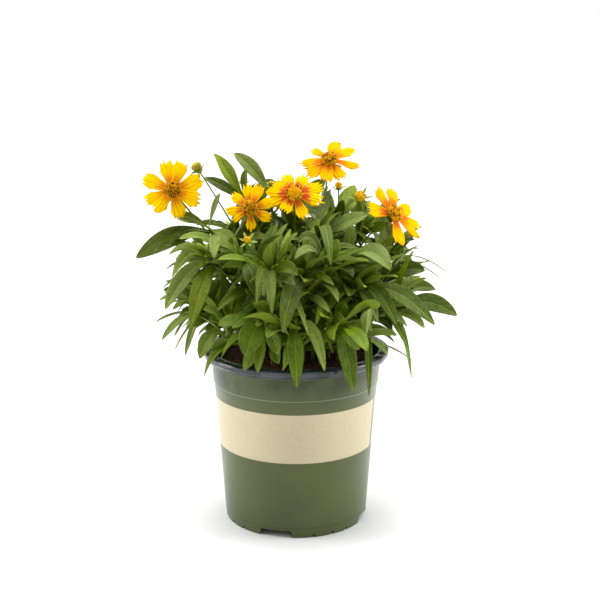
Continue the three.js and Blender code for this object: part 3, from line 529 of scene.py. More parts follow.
VISIBLE_STALK = (0.72, 0.77, 0.82, 0.87, 0.92)  # shares of a bloom's stalk that stay in sight
SALT = 100003  # keeps the random streams of the rules apart


def place_leaf(plan, stem, space):
    """A leaf of the plan, its tip brought forwards or taken back until it is clear."""
    at, tip, width, rise, turn = plan
    face = vector(0, -math.sin(math.radians(turn)), math.cos(math.radians(turn)))
    for share in RISE_SHARES:
        for shift in TIP_SHIFTS:
            end = vector(*tip) + SHIFT_WAY * shift
            blade = (point_on(stem.stalk, at), end, rise * share, face, width)
            if (abs(end[1]) <= HALF_DEPTH_LIMIT
                    and space.claim_blade(blade, stem.owner, inside_limits)):
                return blade
    return None


def blade_by_rule(base, azimuth, draws, rule):
    """A blade from a point on a stem towards an azimuth, as five random draws make it."""
    turn, pitch, length, width, roll = draws
    level = level_way(math.radians(azimuth + rule["turn"] * (2 * turn - 1)))
    outwards = level @ unit(vector(base[0], base[1], 0)) > 0
    pitch = math.radians(between(rule["outward" if outwards else "inward"], pitch))
    chord = level * math.cos(pitch) + vector(0, 0, math.sin(pitch))
    length = between(rule["length"], length)
    upright = unit(UP - chord * (UP @ chord))
    roll = math.radians(rule["roll"] * (2 * roll - 1))
    face = unit(upright + np.cross(chord, upright) * math.tan(roll))
    rise = rule["rise"] * length * math.cos(pitch)
    return base, base + chord * length, rise, face, between(rule["width"], width)


def grow_leaf(stem, at, azimuth, random, rule, space, limits):
    """The first blade by a rule that is clear, in as many tries as the rule allows."""
    base = point_on(stem.stalk, at)
    for _ in range(rule["tries"]):
        blade = blade_by_rule(base, azimuth, [next(random) for _ in range(5)], rule)
        x, y, _ = blade[1]
        in_reach = abs(x) < HALF_WIDTH_LIMIT and abs(y) < HALF_DEPTH_LIMIT
        if in_reach and space.claim_blade(blade, stem.owner, limits):
            return blade
    return None


def grow_pairs(stem, rule, space, limits, salt, step=1):
    """Leaves in opposite pairs, each pair turned a right angle from the last."""
    for pair, at in list(enumerate(rule["pairs"]))[::step]:
        for side in (0, 1):
            random = random_stream(stem.owner * 1000 + pair * 10 + side + salt)
            azimuth = stem.owner * 47 + pair * 90 + 180 * side
            blade = grow_leaf(stem, at, azimuth, random, rule, space, limits)
            if blade:
                youth = between(rule.get("youth", (0, 0.35)), next(random))
                tone = between(rule.get("tone", (0, 1)), next(random))
                stem.blades.append((blade, youth, tone))


# ---- Shapes ----

# What the materials read at each point: its tone, how young it is (in blooms how flushed or
# bright), what it's part of, how far along and across it lies, and its share of the length.
# In foliage, kind is -1 below a leaf, 0 on its top and 1 on a stalk.
VALUES = ("tone", "youth", "kind", "along", "across", "share")


def link(name, data):
    """A new object of the data, in the scene."""
    made = bpy.data.objects.new(name, data)
    bpy.context.scene.collection.objects.link(made)
    return made


class Shape:
    """Points in millimetres, faces, and the values that the materials read at each point."""

    def __init__(self):
        self.points, self.faces, self.values, self.count = [], [], [], 0

    def add(self, rings, **values):
        """A skin over closed rings of points, with values for each ring, corner or point."""
        rings = np.asarray(rings)
        steps, sides = rings.shape[:2]
        columns = [np.broadcast_to(values.get(name, 0), (steps, sides)) for name in VALUES]
        self.points.append(rings.reshape(-1, 3))
        self.values.append(np.stack(columns, -1).reshape(-1, len(VALUES)))
        self.faces.extend([[corner + self.count for corner in face] for face in loft(steps, sides)])
        self.count += steps * sides

    def piece(self, name, material, slot, *nodes):
        """One object of it all, which rides on the root and stands for CAD nodes."""
        mesh = bpy.data.meshes.new(name)
        mesh.from_pydata((np.concatenate(self.points) * MM).tolist(), [], self.faces)
        mesh.polygons.foreach_set("use_smooth", [True] * len(mesh.polygons))
        values = np.concatenate(self.values).astype(np.float32)
        for column, value in enumerate(VALUES):
            data = mesh.attributes.new(value, "FLOAT", "POINT").data
            data.foreach_set("value", values[:, column])
        mesh.materials.append(material)
        piece = link(name, mesh)
        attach(piece, "root")
        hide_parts(*nodes)


def loft(steps, sides):
    """Faces over rings of points, each ring closed, with a face over each end."""
    at = np.arange(steps * sides).reshape(steps, sides)
    near, far = at[:-1], at[1:]
    quads = np.stack([near, np.roll(near, -1, 1), np.roll(far, -1, 1), far], -1)
    return quads.reshape(-1, 4).tolist() + [at[0, ::-1].tolist(), at[-1].tolist()]


STALK_SIDES = 8
STALK_STEP = 5
STALK_TAPER = 0.35
FLUTE_DEPTH = 0.12
ASLANT = vector(0.31, -0.87, 0.39)  # a way that no stalk takes


def tube(shape, stalk, radius, tone, rooted=False):
    """A fluted stalk that gets thinner, and its root's end in the soil if it's rooted."""
    shares = np.linspace(0, 1, max(8, int(math.dist(stalk[0], stalk[3]) / STALK_STEP)))
    middles, ways = point_on(stalk, shares), direction_on(stalk, shares)
    if rooted:
        root = stalk[0] - vector(0, 0, STEM_START - SOIL_EDGE_LEVEL)
        middles, ways = np.vstack([root, middles]), np.vstack([ways[:1], ways])
        shares = np.concatenate([[0], shares])
    across = unit(np.cross(ways, ASLANT))
    up = np.cross(across, ways)
    angle = turns(STALK_SIDES)
    flutes = 1 - FLUTE_DEPTH * (np.arange(STALK_SIDES) % 2)
    reach = (radius * (1 - STALK_TAPER * shares))[:, None] * flutes
    rings = around(middles[:, None], across[:, None], up[:, None], reach, angle)
    along = np.cumsum(np.linalg.norm(np.diff(middles, axis=0, prepend=middles[:1]), axis=1))
    shape.add(rings, kind=1, tone=tone, youth=0.5, along=along[:, None], across=angle,
              share=shares[:, None])


COLUMNS = np.array([-1, -0.9, -0.5, -0.07, 0, 0.07, 0.5, 0.9, 1])
ROUND_COLUMNS = np.concatenate([COLUMNS, COLUMNS[-2:0:-1]])  # over the top and back below
ON_TOP = np.arange(len(ROUND_COLUMNS)) < len(COLUMNS)
LEAF_ROWS = ((30, 8), (44, 11), (math.inf, 15))  # up to a length, this many rows of points
LAST_ROW = 0.988  # where a leaf's last row of points lies, as a share of its length
THICKNESS = 0.5
MARGIN = 0.16  # how thick a leaf's edge is, as a share of its thickness
SWEEP = 0.018
TWIST = 90
WAVE = 0.05
FULLER = 1.12  # how much wider a fine leaf is than its plain solid

# Leaves that hang over the rim are broad towards their ends, and fresher.
HANGING_STEMS = ("left_rim", "front_rim", "front_low", "right_rim")
HANGING_FORM = dict(fuller=1.28, spoon=1.45)
HANGING_YOUTH = 0.3


def leaf(shape, blade, youth, tone, rows, fuller=FULLER, spoon=1):
    """A leaf with a fold along its middle, crowned halves, a slight sweep, twist and wave."""
    shares = LAST_ROW - LAST_ROW * (1 - np.linspace(0, 1, rows)) ** 1.25
    middle, across, up, _ = blade_at(blade, shares)
    half = (blade[4] / 2 * fuller * full_outline(shares ** spoon))[:, None]
    length = math.dist(blade[0], blade[1])
    random = random_stream(int(tone * 1e6) + 7)
    sweep, twist, wave, phase, fold = [next(random) * 2 - 1 for _ in range(5)]
    middle = middle + across * (SWEEP * sweep * length * np.sin(math.pi * shares))[:, None]
    turn = np.radians(TWIST * twist ** 5 * shares ** 2)[:, None]
    cos, sin = np.cos(turn), np.sin(turn)
    across, up = across * cos + up * sin, up * cos - across * sin
    u = ROUND_COLUMNS
    crown = (BLADE_FOLD + 0.12 + 0.12 * fold) * (1.35 * np.abs(u) - 0.45 * u ** 2)
    waves = np.sin(9 * shares + 6 * phase)[:, None] * np.abs(u) ** 3 * np.sign(u)
    thick = THICKNESS * np.where(ON_TOP, 0.5, -0.5) * (1 - (1 - MARGIN) * u ** 2)
    lift = half * (crown + WAVE * wave * waves) + thick * np.minimum(1, half)
    rings = (middle[:, None] + across[:, None] * (half * u)[..., None]
             + up[:, None] * lift[..., None])
    shape.add(rings, tone=tone, youth=youth, kind=np.where(ON_TOP, 0, -1),
              along=(shares * length)[:, None], across=half * u, share=shares[:, None])


# ---- Blooms and buds ----


class Bloom:
    """The frame of a bloom: x to the viewer's right, y towards the top, z the way it faces."""

    def __init__(self, centre, facing):
        self.centre = vector(*centre)
        self.out = unit(vector(*facing))
        self.top = unit(UP - self.out * (UP @ self.out))
        self.right = np.cross(self.top, self.out)

    def place(self, points):
        return self.centre + np.asarray(points, float) @ np.array([self.right, self.top, self.out])

    def moved(self, height):
        return Bloom(self.centre + self.out * height, self.out)


RAY_COLUMNS = np.linspace(-1, 1, 43)
RAY_ROWS = np.linspace(0, 1, 14)
RAY_HALF_THICKNESS = 0.16
RAY_OVERLAP = 1.2  # how far a ray reaches in under the disc
PLEAT_DEPTH = 0.24
CLAW = ((0, 0.3, 0.62, 0.84, 1), (0.19, 0.33, 0.46, 0.5, 0.46))  # a ray's width along it


def both_faces(values):
    """Values of a grid of points, and again backwards for its underside."""
    return np.concatenate([values, values[:, ::-1]], 1)


def toothed_end(width, draws):
    """How many teeth a ray has, and how far out its end lies at each column."""
    teeth = 2 if width < 8 else 3 if width < 10 else 4 if draws[0] < 0.6 else 5
    place = (RAY_COLUMNS * 0.5 + 0.5) ** (0.85 + 0.35 * draws[1]) * teeth
    number = np.minimum(place.astype(int), teeth - 1)
    from_middle = np.abs(2 * (place - number) - 1)
    depth, short = np.array(draws[2:7])[number], np.array(draws[7:12])[number]
    end = 1.12 - (0.16 + 0.16 * depth) * from_middle
    return teeth, end - 0.13 * short - 0.14 * np.abs(RAY_COLUMNS) ** 2


def ray(shape, bloom, plan, number, form, seed):
    """A ray floret: a narrow claw, a pleated blade, and an end cut into deep uneven teeth."""
    turn, width, share = plan
    reach, lift, orange, flush = form
    random = random_stream(seed)
    draws = [next(random) for _ in range(16)]
    teeth, end = toothed_end(width, draws)
    u, v = np.meshgrid(RAY_COLUMNS, RAY_ROWS)
    x = u * np.interp(v, *CLAW) * width
    run = ((reach * share - RAY_ROOT + RAY_OVERLAP) * v * (1 - (1 - end) * v ** 2.5)) - RAY_OVERLAP
    y = RAY_ROOT + run
    layer = RAY_LAYER if number % 2 else -RAY_LAYER
    pleats = np.cos(math.pi * (teeth * (u + 1) / 2 + 0.5) * 2) * smooth(v, 0.05, 0.5)
    curl = 3.2 * (draws[12] - 0.45) * v ** 2.2 - 1.6 * (draws[13] + 0.2) * u ** 2 * v
    slope = math.tan(math.radians(lift)) * np.maximum(0, run - 2) - 0.0016 * run ** 2
    face = np.stack([x, y, slope + layer + PLEAT_DEPTH * pleats + curl], -1)
    thick = vector(0, 0, RAY_HALF_THICKNESS)
    rings = np.concatenate([face + thick, (face - thick)[:, ::-1]], 1)
    cos, sin = math.cos(math.radians(-turn)), math.sin(math.radians(-turn))
    spin = np.array([[cos, sin, 0], [-sin, cos, 0], [0, 0, 1]])
    shape.add(bloom.place(rings @ spin), tone=np.clip(orange + 0.3 * (draws[14] - 0.5), 0, 1),
              youth=flush * (0.8 + 0.4 * draws[15]), kind=seed % 97, along=both_faces(y),
              across=both_faces(u), share=both_faces(v))


GOLDEN_TURN = math.pi * (3 - math.sqrt(5))
FLORETS = 130
FLORET_RADIUS = 0.5
OPEN_HEIGHT = 1.5
CLOSED_HEIGHT = 1.0
STYLE_SHARE = 0.4  # of the open florets show a style
STYLE_RADIUS = 0.28
FULL_DISC_REACH = 24
LOBES = 5
DISC = dict(radius=6.8, low=1.3, high=3.2)
CUSHION = dict(radius=6.9, low=1.3, high=4.4)


def floret(shape, bloom, foot, way, height, radius, open_share, **values):
    """A little five-lobed tube. kind 1 is the dark column of its anthers."""
    side = unit(np.cross(way, vector(0.2, 0.9, 0.1)))
    up = np.cross(side, way)
    corners = 2 * LOBES
    notch = np.arange(corners) % 2
    rings = []
    for level, reach, lobes in ((-0.4, 0.7, 0), (0.5, 0.85, 0), (1, 0.6 + 0.7 * open_share, 0.25)):
        high = height * level + lobes * radius * (1 - notch)
        out = radius * reach * (1 - lobes * notch)
        rings.append(around(foot + way * high[:, None], side, up, out, turns(corners)))
    shape.add(bloom.place(rings), share=[[0], [0.5], [1]], **values)


def spiral(count, radius, low, high, reach=1.0):
    """Feet in the spirals of a sunflower head over a dome, each with its share of the radius."""
    for k in range(count):
        spread = reach * math.sqrt((k + 0.5) / count)
        level = low + high * math.sqrt(max(0, 1 - spread ** 2))
        yield spread, level_way(k * GOLDEN_TURN) * radius * spread + vector(0, 0, level)


def disc(shape, bloom, scale, looks, seed):
    """The florets of a disc, on their dark cushion."""
    ripeness, dark_share, bright = looks
    polar = np.linspace(0, math.pi / 2, 7)[:-1]
    rings = [ring(turns(24), CUSHION["radius"] * scale * out,
                  mix(CUSHION["low"], CUSHION["high"], up))
             for out, up in zip(np.cos(polar), np.sin(polar))]
    shape.add(bloom.place(rings), tone=1, kind=1 - 0.9 * bright, share=0.8 * bright, youth=bright)
    random = random_stream(seed)
    for spread, foot in spiral(FLORETS, DISC["radius"] * scale, DISC["low"], DISC["high"]):
        way = unit(foot + vector(0, 0, 3))
        draws = [next(random) for _ in range(5)]
        is_open = spread > 1 - ripeness
        height = (OPEN_HEIGHT if is_open else CLOSED_HEIGHT) + 0.6 * draws[0]
        dark = 1 if is_open and draws[4] < dark_share else 0
        floret(shape, bloom, foot, way, height, FLORET_RADIUS, 0.8 if is_open else 0.05,
               kind=dark, tone=draws[1], youth=bright)
        if is_open and draws[2] < STYLE_SHARE:
            floret(shape, bloom, foot + way * height * 0.7, way, 0.8 + 0.5 * draws[3],
                   STYLE_RADIUS, 0.2, kind=1 - dark, tone=draws[1], youth=bright)


CUP_PROFILE = ((1.3, -8), (2.2, -7.4), (3.6, -5.8), (5.2, -3.8), (6, -2.4), (6.2, -1.3))
CUP_SCALES = dict(count=8, root=2.6, low=-6.6, end=6.9, high=0.6, width=5.4, youth=0.7, rows=8)
BRACT_YOUTH = 1.2  # beyond 1 a leaf gets paler
BRACT_ROWS = 9


def cup(shape, bloom, scale, bracts, seed):
    """The green cup: a bell, a ring of broad scales pressed to it, and narrow spreading bracts."""
    angle = turns(20)
    rings = [ring(angle, r * scale, z * scale) for r, z in CUP_PROFILE]
    shape.add(bloom.place(rings), kind=1, tone=0.5, youth=0.6, across=angle)
    random = random_stream(seed)
    pressed = CUP_SCALES
    for turn in turns(pressed["count"]):
        way = level_way(turn)
        base = bloom.place((way * pressed["root"] + vector(0, 0, pressed["low"])) * scale)
        tip = bloom.place((way * pressed["end"] + vector(0, 0, pressed["high"])) * scale)
        outwards = bloom.place(way) - bloom.centre
        blade = (base, tip, 0, outwards, pressed["width"] * scale)
        leaf(shape, blade, pressed["youth"], next(random), pressed["rows"])
    for i in range(bracts["count"]):
        turn = (i + 0.5) * 2 * math.pi / bracts["count"] + math.pi / 2
        way = level_way(turn + 0.4 * (next(random) - 0.5))
        base = bloom.place(way * bracts["root"] + vector(0, 0, bracts["level"]))
        reach = bracts["root"] + bracts["length"] * (0.7 + 0.32 * next(random))
        end = bracts["level"] + bracts["droop"] * (0.6 + 0.8 * next(random))
        tip = bloom.place(way * reach + vector(0, 0, end))
        blade = (base, tip, 0, bloom.out, bracts["width"])
        leaf(shape, blade, BRACT_YOUTH, next(random), BRACT_ROWS)


HEAD_LEVELS = np.radians([-62, -45, -25, -5, 15, 35, 52, 66, 78, 86])
HEAD_SCALES = 4  # pairs of scales round a bud
HEAD_HEIGHT = 0.8  # half the height of a bud's head, as a share of its radius
BUD_FLORETS = 70
BUD_DARK_SHARE = 0.13


def bud_head(shape, bloom, radius, openness, seed):
    """A bud's head: eight scales closed over it, or a dome of florets that pushes through."""
    angle = turns(48)
    seams = np.cos(HEAD_SCALES * angle)
    rings = []
    for polar in HEAD_LEVELS:
        swell = 0.93 + 0.07 * np.abs(seams) ** 0.5 * math.cos(polar) ** 0.5
        level = HEAD_HEIGHT * radius * math.sin(polar) + (0.05 * radius if polar > 1.2 else 0)
        rings.append(ring(angle, radius * math.cos(polar) * swell, level))
    shape.add(bloom.place(rings), tone=openness, kind=0.2, across=seams,
              share=np.linspace(0, 1, len(rings))[:, None])
    if openness < 0.5:
        return
    random = random_stream(seed)
    for _, foot in spiral(int(BUD_FLORETS * openness), 0.98 * radius, 0, 0.82 * radius, 0.97):
        way = unit(foot + UP)
        dark = next(random) < BUD_DARK_SHARE
        floret(shape, bloom, foot, way, 0.8 if dark else 0.4, FLORET_RADIUS * radius / 5, 0.05,
               tone=next(random), kind=1 if dark else 0)


# ---- Growing ----


class Stem:
    """A stalk that stands in the soil, and what grows from it."""

    def __init__(self, name, radius, stalk, plans, owner):
        self.name = name
        self.radius = radius
        self.stalk = stalk
        self.plans = plans
        self.owner = owner
        self.blades, self.branches, self.cups = [], [], []


class Plant:
    """The stems, and the room that they and their blooms and buds take up."""

    def __init__(self):
        self.space = Space(CELL, CLEARANCE)
        self.stems = {}
        self.rounds = []
        self.stalk_tops = []

    def add_stem(self, name, radius, stalk, plans):
        stem = Stem(name, radius, stalk, plans, len(self.stems))
        self.stems[name] = stem
        self.space.claim_stalk(stalk, stem.owner)
        return stem

    def add_round(self, bloom, reach, heights, stem):
        self.space.claim_disc(bloom, reach, heights, stem.owner)
        self.rounds.append((bloom, reach, heights, stem.owner))

    def add_bloom(self, name, foot, bloom, reach):
        top = bloom.centre - bloom.out * CUP_DEPTH
        stalk = aimed_stalk(vector(*foot, STEM_START), UP, top, bloom.out)
        stem = self.add_stem(name, FLOWER_RADIUS, stalk, STALK_LEAVES.get(name, []))
        stem.cups.append((bloom, 1, OUTER_BRACTS))
        self.add_round(bloom, reach + 1, RAY_HEIGHTS, stem)
        self.stalk_tops.extend((point_on(stalk, share), 1) for share in VISIBLE_STALK)
        self.add_round(bloom, CUP_REACH, CUP_HEIGHTS, stem)

    def add_bud(self, name, branch_of, root, bloom, radius, length):
        scale = radius * BUD_CUP_SHARE
        seat = bloom.moved(-(radius * HEAD_HEIGHT + GAP - CUP_TOP * scale))
        top = seat.centre - bloom.out * (CUP_DEPTH * scale)
        if branch_of:
            stem = self.stems[branch_of]
            start, leave = point_on(stem.stalk, root), direction_on(stem.stalk, root)
            branch = aimed_stalk(start, leave, top, bloom.out)
            stem.branches.append(branch)
            self.space.claim_stalk(branch, stem.owner)
        else:
            stalk = aimed_stalk(vector(*root, STEM_START), UP, top, bloom.out)
            stem = self.add_stem(name, BUD_RADIUS, stalk, STALK_LEAVES.get(name, []))
        bracts = dict(BUD_BRACTS, length=length, root=1.2 * scale, level=-3 * scale,
                      droop=length * 0.25)
        stem.cups.append((seat, scale, bracts))
        self.add_round(bloom, length, BUD_HEIGHTS, stem)

    def add_planned_leaves(self):
        for stem in self.stems.values():
            for number, plan in enumerate(stem.plans):
                blade = place_leaf(plan, stem, self.space)
                if blade:
                    random = random_stream(stem.owner * 77 + number)
                    youth = 0.3 if plan[2] > 7 else 0.6
                    stem.blades.append((blade, youth * next(random), next(random)))

    def add_leaves_by_rule(self, leafy):
        for stem in leafy:
            step = 2 if len(stem.plans) > FEW_OWN_LEAVES else 1
            grow_pairs(stem, RULE, self.space, inside_limits, 0, step)

    def add_small_leaves(self, leafy, stalks):
        """Leaves that only the fine pieces have, in a finer record of the space that's left."""
        fine = Space(FINE_CELL, FINE_CLEARANCE)
        for stem in self.stems.values():
            fine.claim_stalk(stem.stalk, stem.owner)
            for blade, _, _ in stem.blades:
                fine.claim_blade(blade, stem.owner)
        for taken in self.rounds:
            fine.claim_disc(*taken)
        heads = [(bloom.centre, reach) for bloom, reach, _, _ in self.rounds]
        limits = clear_of(heads + self.stalk_tops)
        for number, rule in enumerate((CROWN, FILL, BASAL, TIP, TUFT), start=1):
            for stem in leafy:
                grow_pairs(stem, rule, fine, limits, number * SALT)
        for stem in stalks:
            grow_pairs(stem, SCALES, fine, over_soil, 7)


def grow_plant():
    """Every stem with its blades, branches and cups."""
    plant = Plant()
    for name, (foot, top, plans) in LEAFY_STEMS.items():
        plant.add_stem(name, LEAFY_RADIUS, leafy_stalk(foot, top), plans)
    for name, (foot, centre, facing, reach, *_) in BLOOMS.items():
        plant.add_bloom(name, foot, Bloom(centre, facing), reach)
    for name, (branch_of, root, centre, facing, radius, length, _) in BUDS.items():
        plant.add_bud(name, branch_of, root, Bloom(centre, facing), radius, length)
    stems = list(plant.stems.values())
    leafy, stalks = stems[:len(LEAFY_STEMS)], stems[len(LEAFY_STEMS):]
    plant.add_planned_leaves()
    plant.add_leaves_by_rule(leafy)
    plant.add_small_leaves(leafy, stalks)
    return stems


def stem_piece(stem, material):
    shape = Shape()
    tone = (stem.owner * 0.37) % 1
    tube(shape, stem.stalk, stem.radius, tone, rooted=True)
    for branch in stem.branches:
        tube(shape, branch, BUD_RADIUS, tone)
    for bloom, scale, bracts in stem.cups:
        cup(shape, bloom, scale, bracts, stem.owner + 11)
    hanging = stem.name in HANGING_STEMS
    form, fresher = (HANGING_FORM, HANGING_YOUTH) if hanging else ({}, 0)
    for blade, youth, tone in stem.blades:
        length = math.dist(blade[0], blade[1])
        rows = next(rows for limit, rows in LEAF_ROWS if length < limit)
        leaf(shape, blade, youth + fresher, tone, rows, **form)
    shape.piece(f"leafy_{stem.name}", material, "foliage", f"stem_{stem.name}")


# ---- Materials ----


def linear(colour):
    """A colour as on a screen, from 0 to 255, made linear. A node's output stays as it is."""
    if isinstance(colour, bpy.types.NodeSocket):
        return colour
    channels = [channel / 255 for channel in colour]
    return (*[c / 12.92 if c <= 0.04045 else ((c + 0.055) / 1.055) ** 2.4 for c in channels], 1)


class Nodes:
    """Short names for the nodes of a tree."""

    def __init__(self, owner):
        owner.use_nodes = True
        self.tree = owner.node_tree

    def node(self, kind, inputs=None, output=0, **settings):
        made = self.tree.nodes.new("ShaderNode" + kind)
        for name, value in settings.items():
            setattr(made, name, value)
        for socket, value in (inputs or {}).items():
            self.feed(made.inputs[socket], value)
        return made.outputs[output]

    def feed(self, socket, value):
        if isinstance(value, bpy.types.NodeSocket):
            self.tree.links.new(value, socket)
        else:
            socket.default_value = value

    def math(self, operation, *values):
        return self.node("Math", dict(enumerate(values)), operation=operation)

    def times(self, first, *others):
        for other in others:
            first = self.math("MULTIPLY", first, other)
        return first

    def off(self, value, middle=0.0):
        """How far a value is from a middle."""
        return self.math("ABSOLUTE", self.math("SUBTRACT", value, middle))

    def ramp(self, value, low, high, start=0.0, end=1.0):
        """value taken smoothly from low..high to start..end."""
        inputs = {"Value": value, "From Min": low, "From Max": high, "To Min": start, "To Max": end}
        return self.node("MapRange", inputs, interpolation_type="SMOOTHSTEP")


class Material(Nodes):
    """A material on one Principled shader, and the nodes that feed it."""

    def __init__(self, name, **constants):
        self.material = bpy.data.materials.new(name)
        super().__init__(self.material)
        self.shader = self.tree.nodes["Principled BSDF"]
        for socket, value in constants.items():
            self.shader.inputs[socket.replace("_", " ")].default_value = value

    def made(self, colour, roughness, normal=None):
        self.feed(self.shader.inputs["Base Color"], colour)
        self.feed(self.shader.inputs["Roughness"], roughness)
        if normal:
            self.feed(self.shader.inputs["Normal"], normal)
        return self.material

    def values(self, *names):
        return [self.node("Attribute", output="Fac", attribute_name=name) for name in names]

    def mix(self, share, a, b):
        made = self.tree.nodes.new("ShaderNodeMix")
        made.data_type = "RGBA"
        given = {"Factor_Float": share, "A_Color": linear(a), "B_Color": linear(b)}
        for socket in made.inputs:
            if socket.identifier in given:
                self.feed(socket, given[socket.identifier])
        return next(s for s in made.outputs if s.identifier == "Result_Color")

    def layer(self, base, colour, value, low, high, start=0.0, end=1.0):
        """A colour over a base, from start to end as strong as a value goes from low to high."""
        return self.mix(self.ramp(value, low, high, start, end), base, colour)

    def place(self):
        return self.node("TexCoord", output="Object")

    def stretched(self, *scales):
        return self.node("VectorMath", {0: self.place(), 1: scales}, operation="MULTIPLY")

    def at(self, x, y, z=0.0):
        return self.node("CombineXYZ", {"X": x, "Y": y, "Z": z})

    def noise(self, scale, detail, vector=None):
        inputs = {"Scale": scale, "Detail": detail, "Vector": vector or self.place()}
        return self.node("TexNoise", inputs)

    def bump(self, height, distance, strength, normal=None):
        inputs = {"Height": height, "Distance": distance, "Strength": strength}
        if normal:
            inputs["Normal"] = normal
        return self.node("Bump", inputs)


def foliage_material():
    """Leaves of mixed ages with veins, ribs and speckles, paler below, on streaky stalks."""
    mat = Material("foliage", Specular_IOR_Level=0.23)
    tone, youth, kind, along, across, share = mat.values(*VALUES)
    old = mat.mix(tone, (34, 52, 0), (132, 148, 4))
    # A share of the leaves greyer: partly the grey-green of older leaves, partly painted sheen.
    shade = mat.math("FRACT", mat.times(tone, 7.3))
    old = mat.layer(old, (134, 150, 76), shade, 0.58, 0.78, 0, 0.85)
    top = mat.mix(youth, old, mat.mix(tone, (96, 136, 0), (150, 182, 4)))
    blotches = mat.noise(38, 4)
    top = mat.layer(top, (44, 60, 4), blotches, 0.35, 0.65, 0, 0.4)
    lengthwise = mat.at(mat.times(along, 0.2), mat.times(across, 1.1), tone)
    grain = mat.noise(1, 3, lengthwise)
    top = mat.layer(top, (140, 154, 46), grain, 0.45, 0.62, 0, 0.24)
    speckles = mat.noise(620, 2)
    top = mat.layer(top, (40, 54, 4), speckles, 0.46, 0.6, 0, 0.34)
    top = mat.layer(top, (156, 170, 56), mat.off(across), 0.1, 0.4, 0.55, 0)
    top = mat.layer(top, (110, 100, 40), share, 0.93, 1, 0, 0.35)
    under = mat.mix(0.5, top, (104, 118, 34))
    blade = mat.layer(top, under, kind, -0.5, -0.4, 1, 0)
    blade = mat.layer(blade, (166, 188, 92), youth, 1, 1.3, 0, 0.8)
    stalk = mat.mix(mat.ramp(share, 0, 0.5), (80, 82, 20), (102, 130, 10))
    ridges = mat.math("SINE", mat.times(across, 4))
    stalk = mat.layer(stalk, (134, 156, 40), ridges, -1, 1, 0, 0.3)
    colour = mat.layer(blade, stalk, kind, 0.5, 0.6)
    rough = mat.ramp(mat.noise(60, 3), 0.3, 0.7, 0.38, 0.54)
    pores = mat.bump(mat.noise(1400, 2), 0.0004, 0.25)
    veins = mat.ramp(grain, 0.45, 0.62)
    return mat.made(colour, rough, mat.bump(veins, 0.0003, 0.5, pores))


def ray_material():
    """Yellow rays with orange streaks, painted shade along their edges, with a red flush at the
    base.
    """
    mat = Material("ray_florets", Specular_IOR_Level=0.02)
    tone, flush, kind, along, across, share = mat.values(*VALUES)
    lengthwise = mat.at(mat.times(across, 3.2), mat.times(along, 0.05), kind)
    streaks = mat.noise(1, 3, lengthwise)
    off_middle = mat.off(across)
    reach = mat.math("ADD", share, mat.times(mat.math("SUBTRACT", streaks, 0.5), 0.7))
    colour = mat.mix(mat.times(tone, 0.8), (252, 208, 0), (248, 168, 0))
    colour = mat.layer(colour, (238, 156, 0), streaks, 0.42, 0.62, 0, 0.42)
    middle = mat.ramp(off_middle, 0.3, 1, 0.85, 0.3)
    warm = mat.times(mat.ramp(reach, 0.1, 0.5, 1, 0), middle)
    colour = mat.mix(warm, colour, (216, 112, 4))
    # A darker orange along each ray's edges: painted shade where the rays overlap.
    colour = mat.layer(colour, (226, 132, 0), off_middle, 0.86, 1, 0, 0.5)
    middle = mat.ramp(off_middle, 0.5, 1, 1, 0.3)
    red = mat.times(mat.ramp(reach, 0.34, 0.58, 1, 0), flush, middle)
    colour = mat.mix(red, colour, (204, 68, 38))
    rough = mat.ramp(streaks, 0.3, 0.7, 0.7, 0.85)
    return mat.made(colour, rough, mat.bump(streaks, 0.0006, 0.5))


def floret_material():
    """Gold disc florets, deeper orange at their feet as painted shade between them, and brown
    anthers.
    """
    mat = Material("disc_florets", Specular_IOR_Level=0.1)
    tone, bright, kind, share = mat.values("tone", "youth", "kind", "share")
    gold = mat.mix(tone, (222, 148, 4), (250, 196, 20))
    gold = mat.mix(bright, gold, mat.mix(tone, (250, 190, 0), (255, 216, 24)))
    # Darker towards each floret's foot: painted shade between the florets, less on bright discs.
    depth = mat.times(mat.ramp(share, 0, 1, 0.6, 0), mat.ramp(bright, 0.5, 1, 1, 0.12))
    gold = mat.mix(depth, gold, (170, 90, 2))
    speckle = mat.ramp(mat.noise(900, 2), 0.35, 0.65)
    gold = mat.mix(mat.times(speckle, 0.2), gold, (216, 130, 6))
    brown = mat.mix(tone, (104, 44, 6), (158, 82, 10))
    colour = mat.layer(gold, brown, kind, 0.55, 0.95)
    grain = mat.bump(mat.noise(1500, 2), 0.0003, 0.4)
    return mat.made(colour, mat.ramp(speckle, 0, 1, 0.5, 0.75), grain)


def bud_material():
    """Yellow-green scales with brown seams, and the gold florets of an open bud."""
    mat = Material("bud_heads", Specular_IOR_Level=0.15)
    openness, kind, across, share = mat.values("tone", "kind", "across", "share")
    green = mat.mix(mat.ramp(share, 0.4, 0.85), (140, 124, 20), (206, 192, 64))
    seam = mat.ramp(mat.off(across), 0, 0.42, 1, 0)
    green = mat.mix(mat.times(seam, 0.85), green, (110, 72, 14))
    green = mat.layer(green, (186, 176, 60), mat.noise(420, 3), 0.4, 0.7, 0, 0.4)
    gold = mat.mix(mat.ramp(mat.noise(700, 2), 0.35, 0.65), (232, 176, 0), (252, 210, 20))
    scales = mat.layer(green, gold, openness, 0.25, 0.5)
    florets = mat.layer(gold, (92, 44, 12), kind, 0.6, 0.9)
    is_scale = mat.math("COMPARE", kind, 0.2, 0.05)
    colour = mat.mix(is_scale, florets, scales)
    relief = mat.bump(mat.noise(600, 3), 0.0004, 0.3)
    return mat.made(colour, mat.ramp(seam, 0, 1, 0.45, 0.6), relief)


BAND = (71.1, 115.8)
BAND_EDGE = 0.12
BAND_SEAM = dict(turn=73, half_width=2.8)


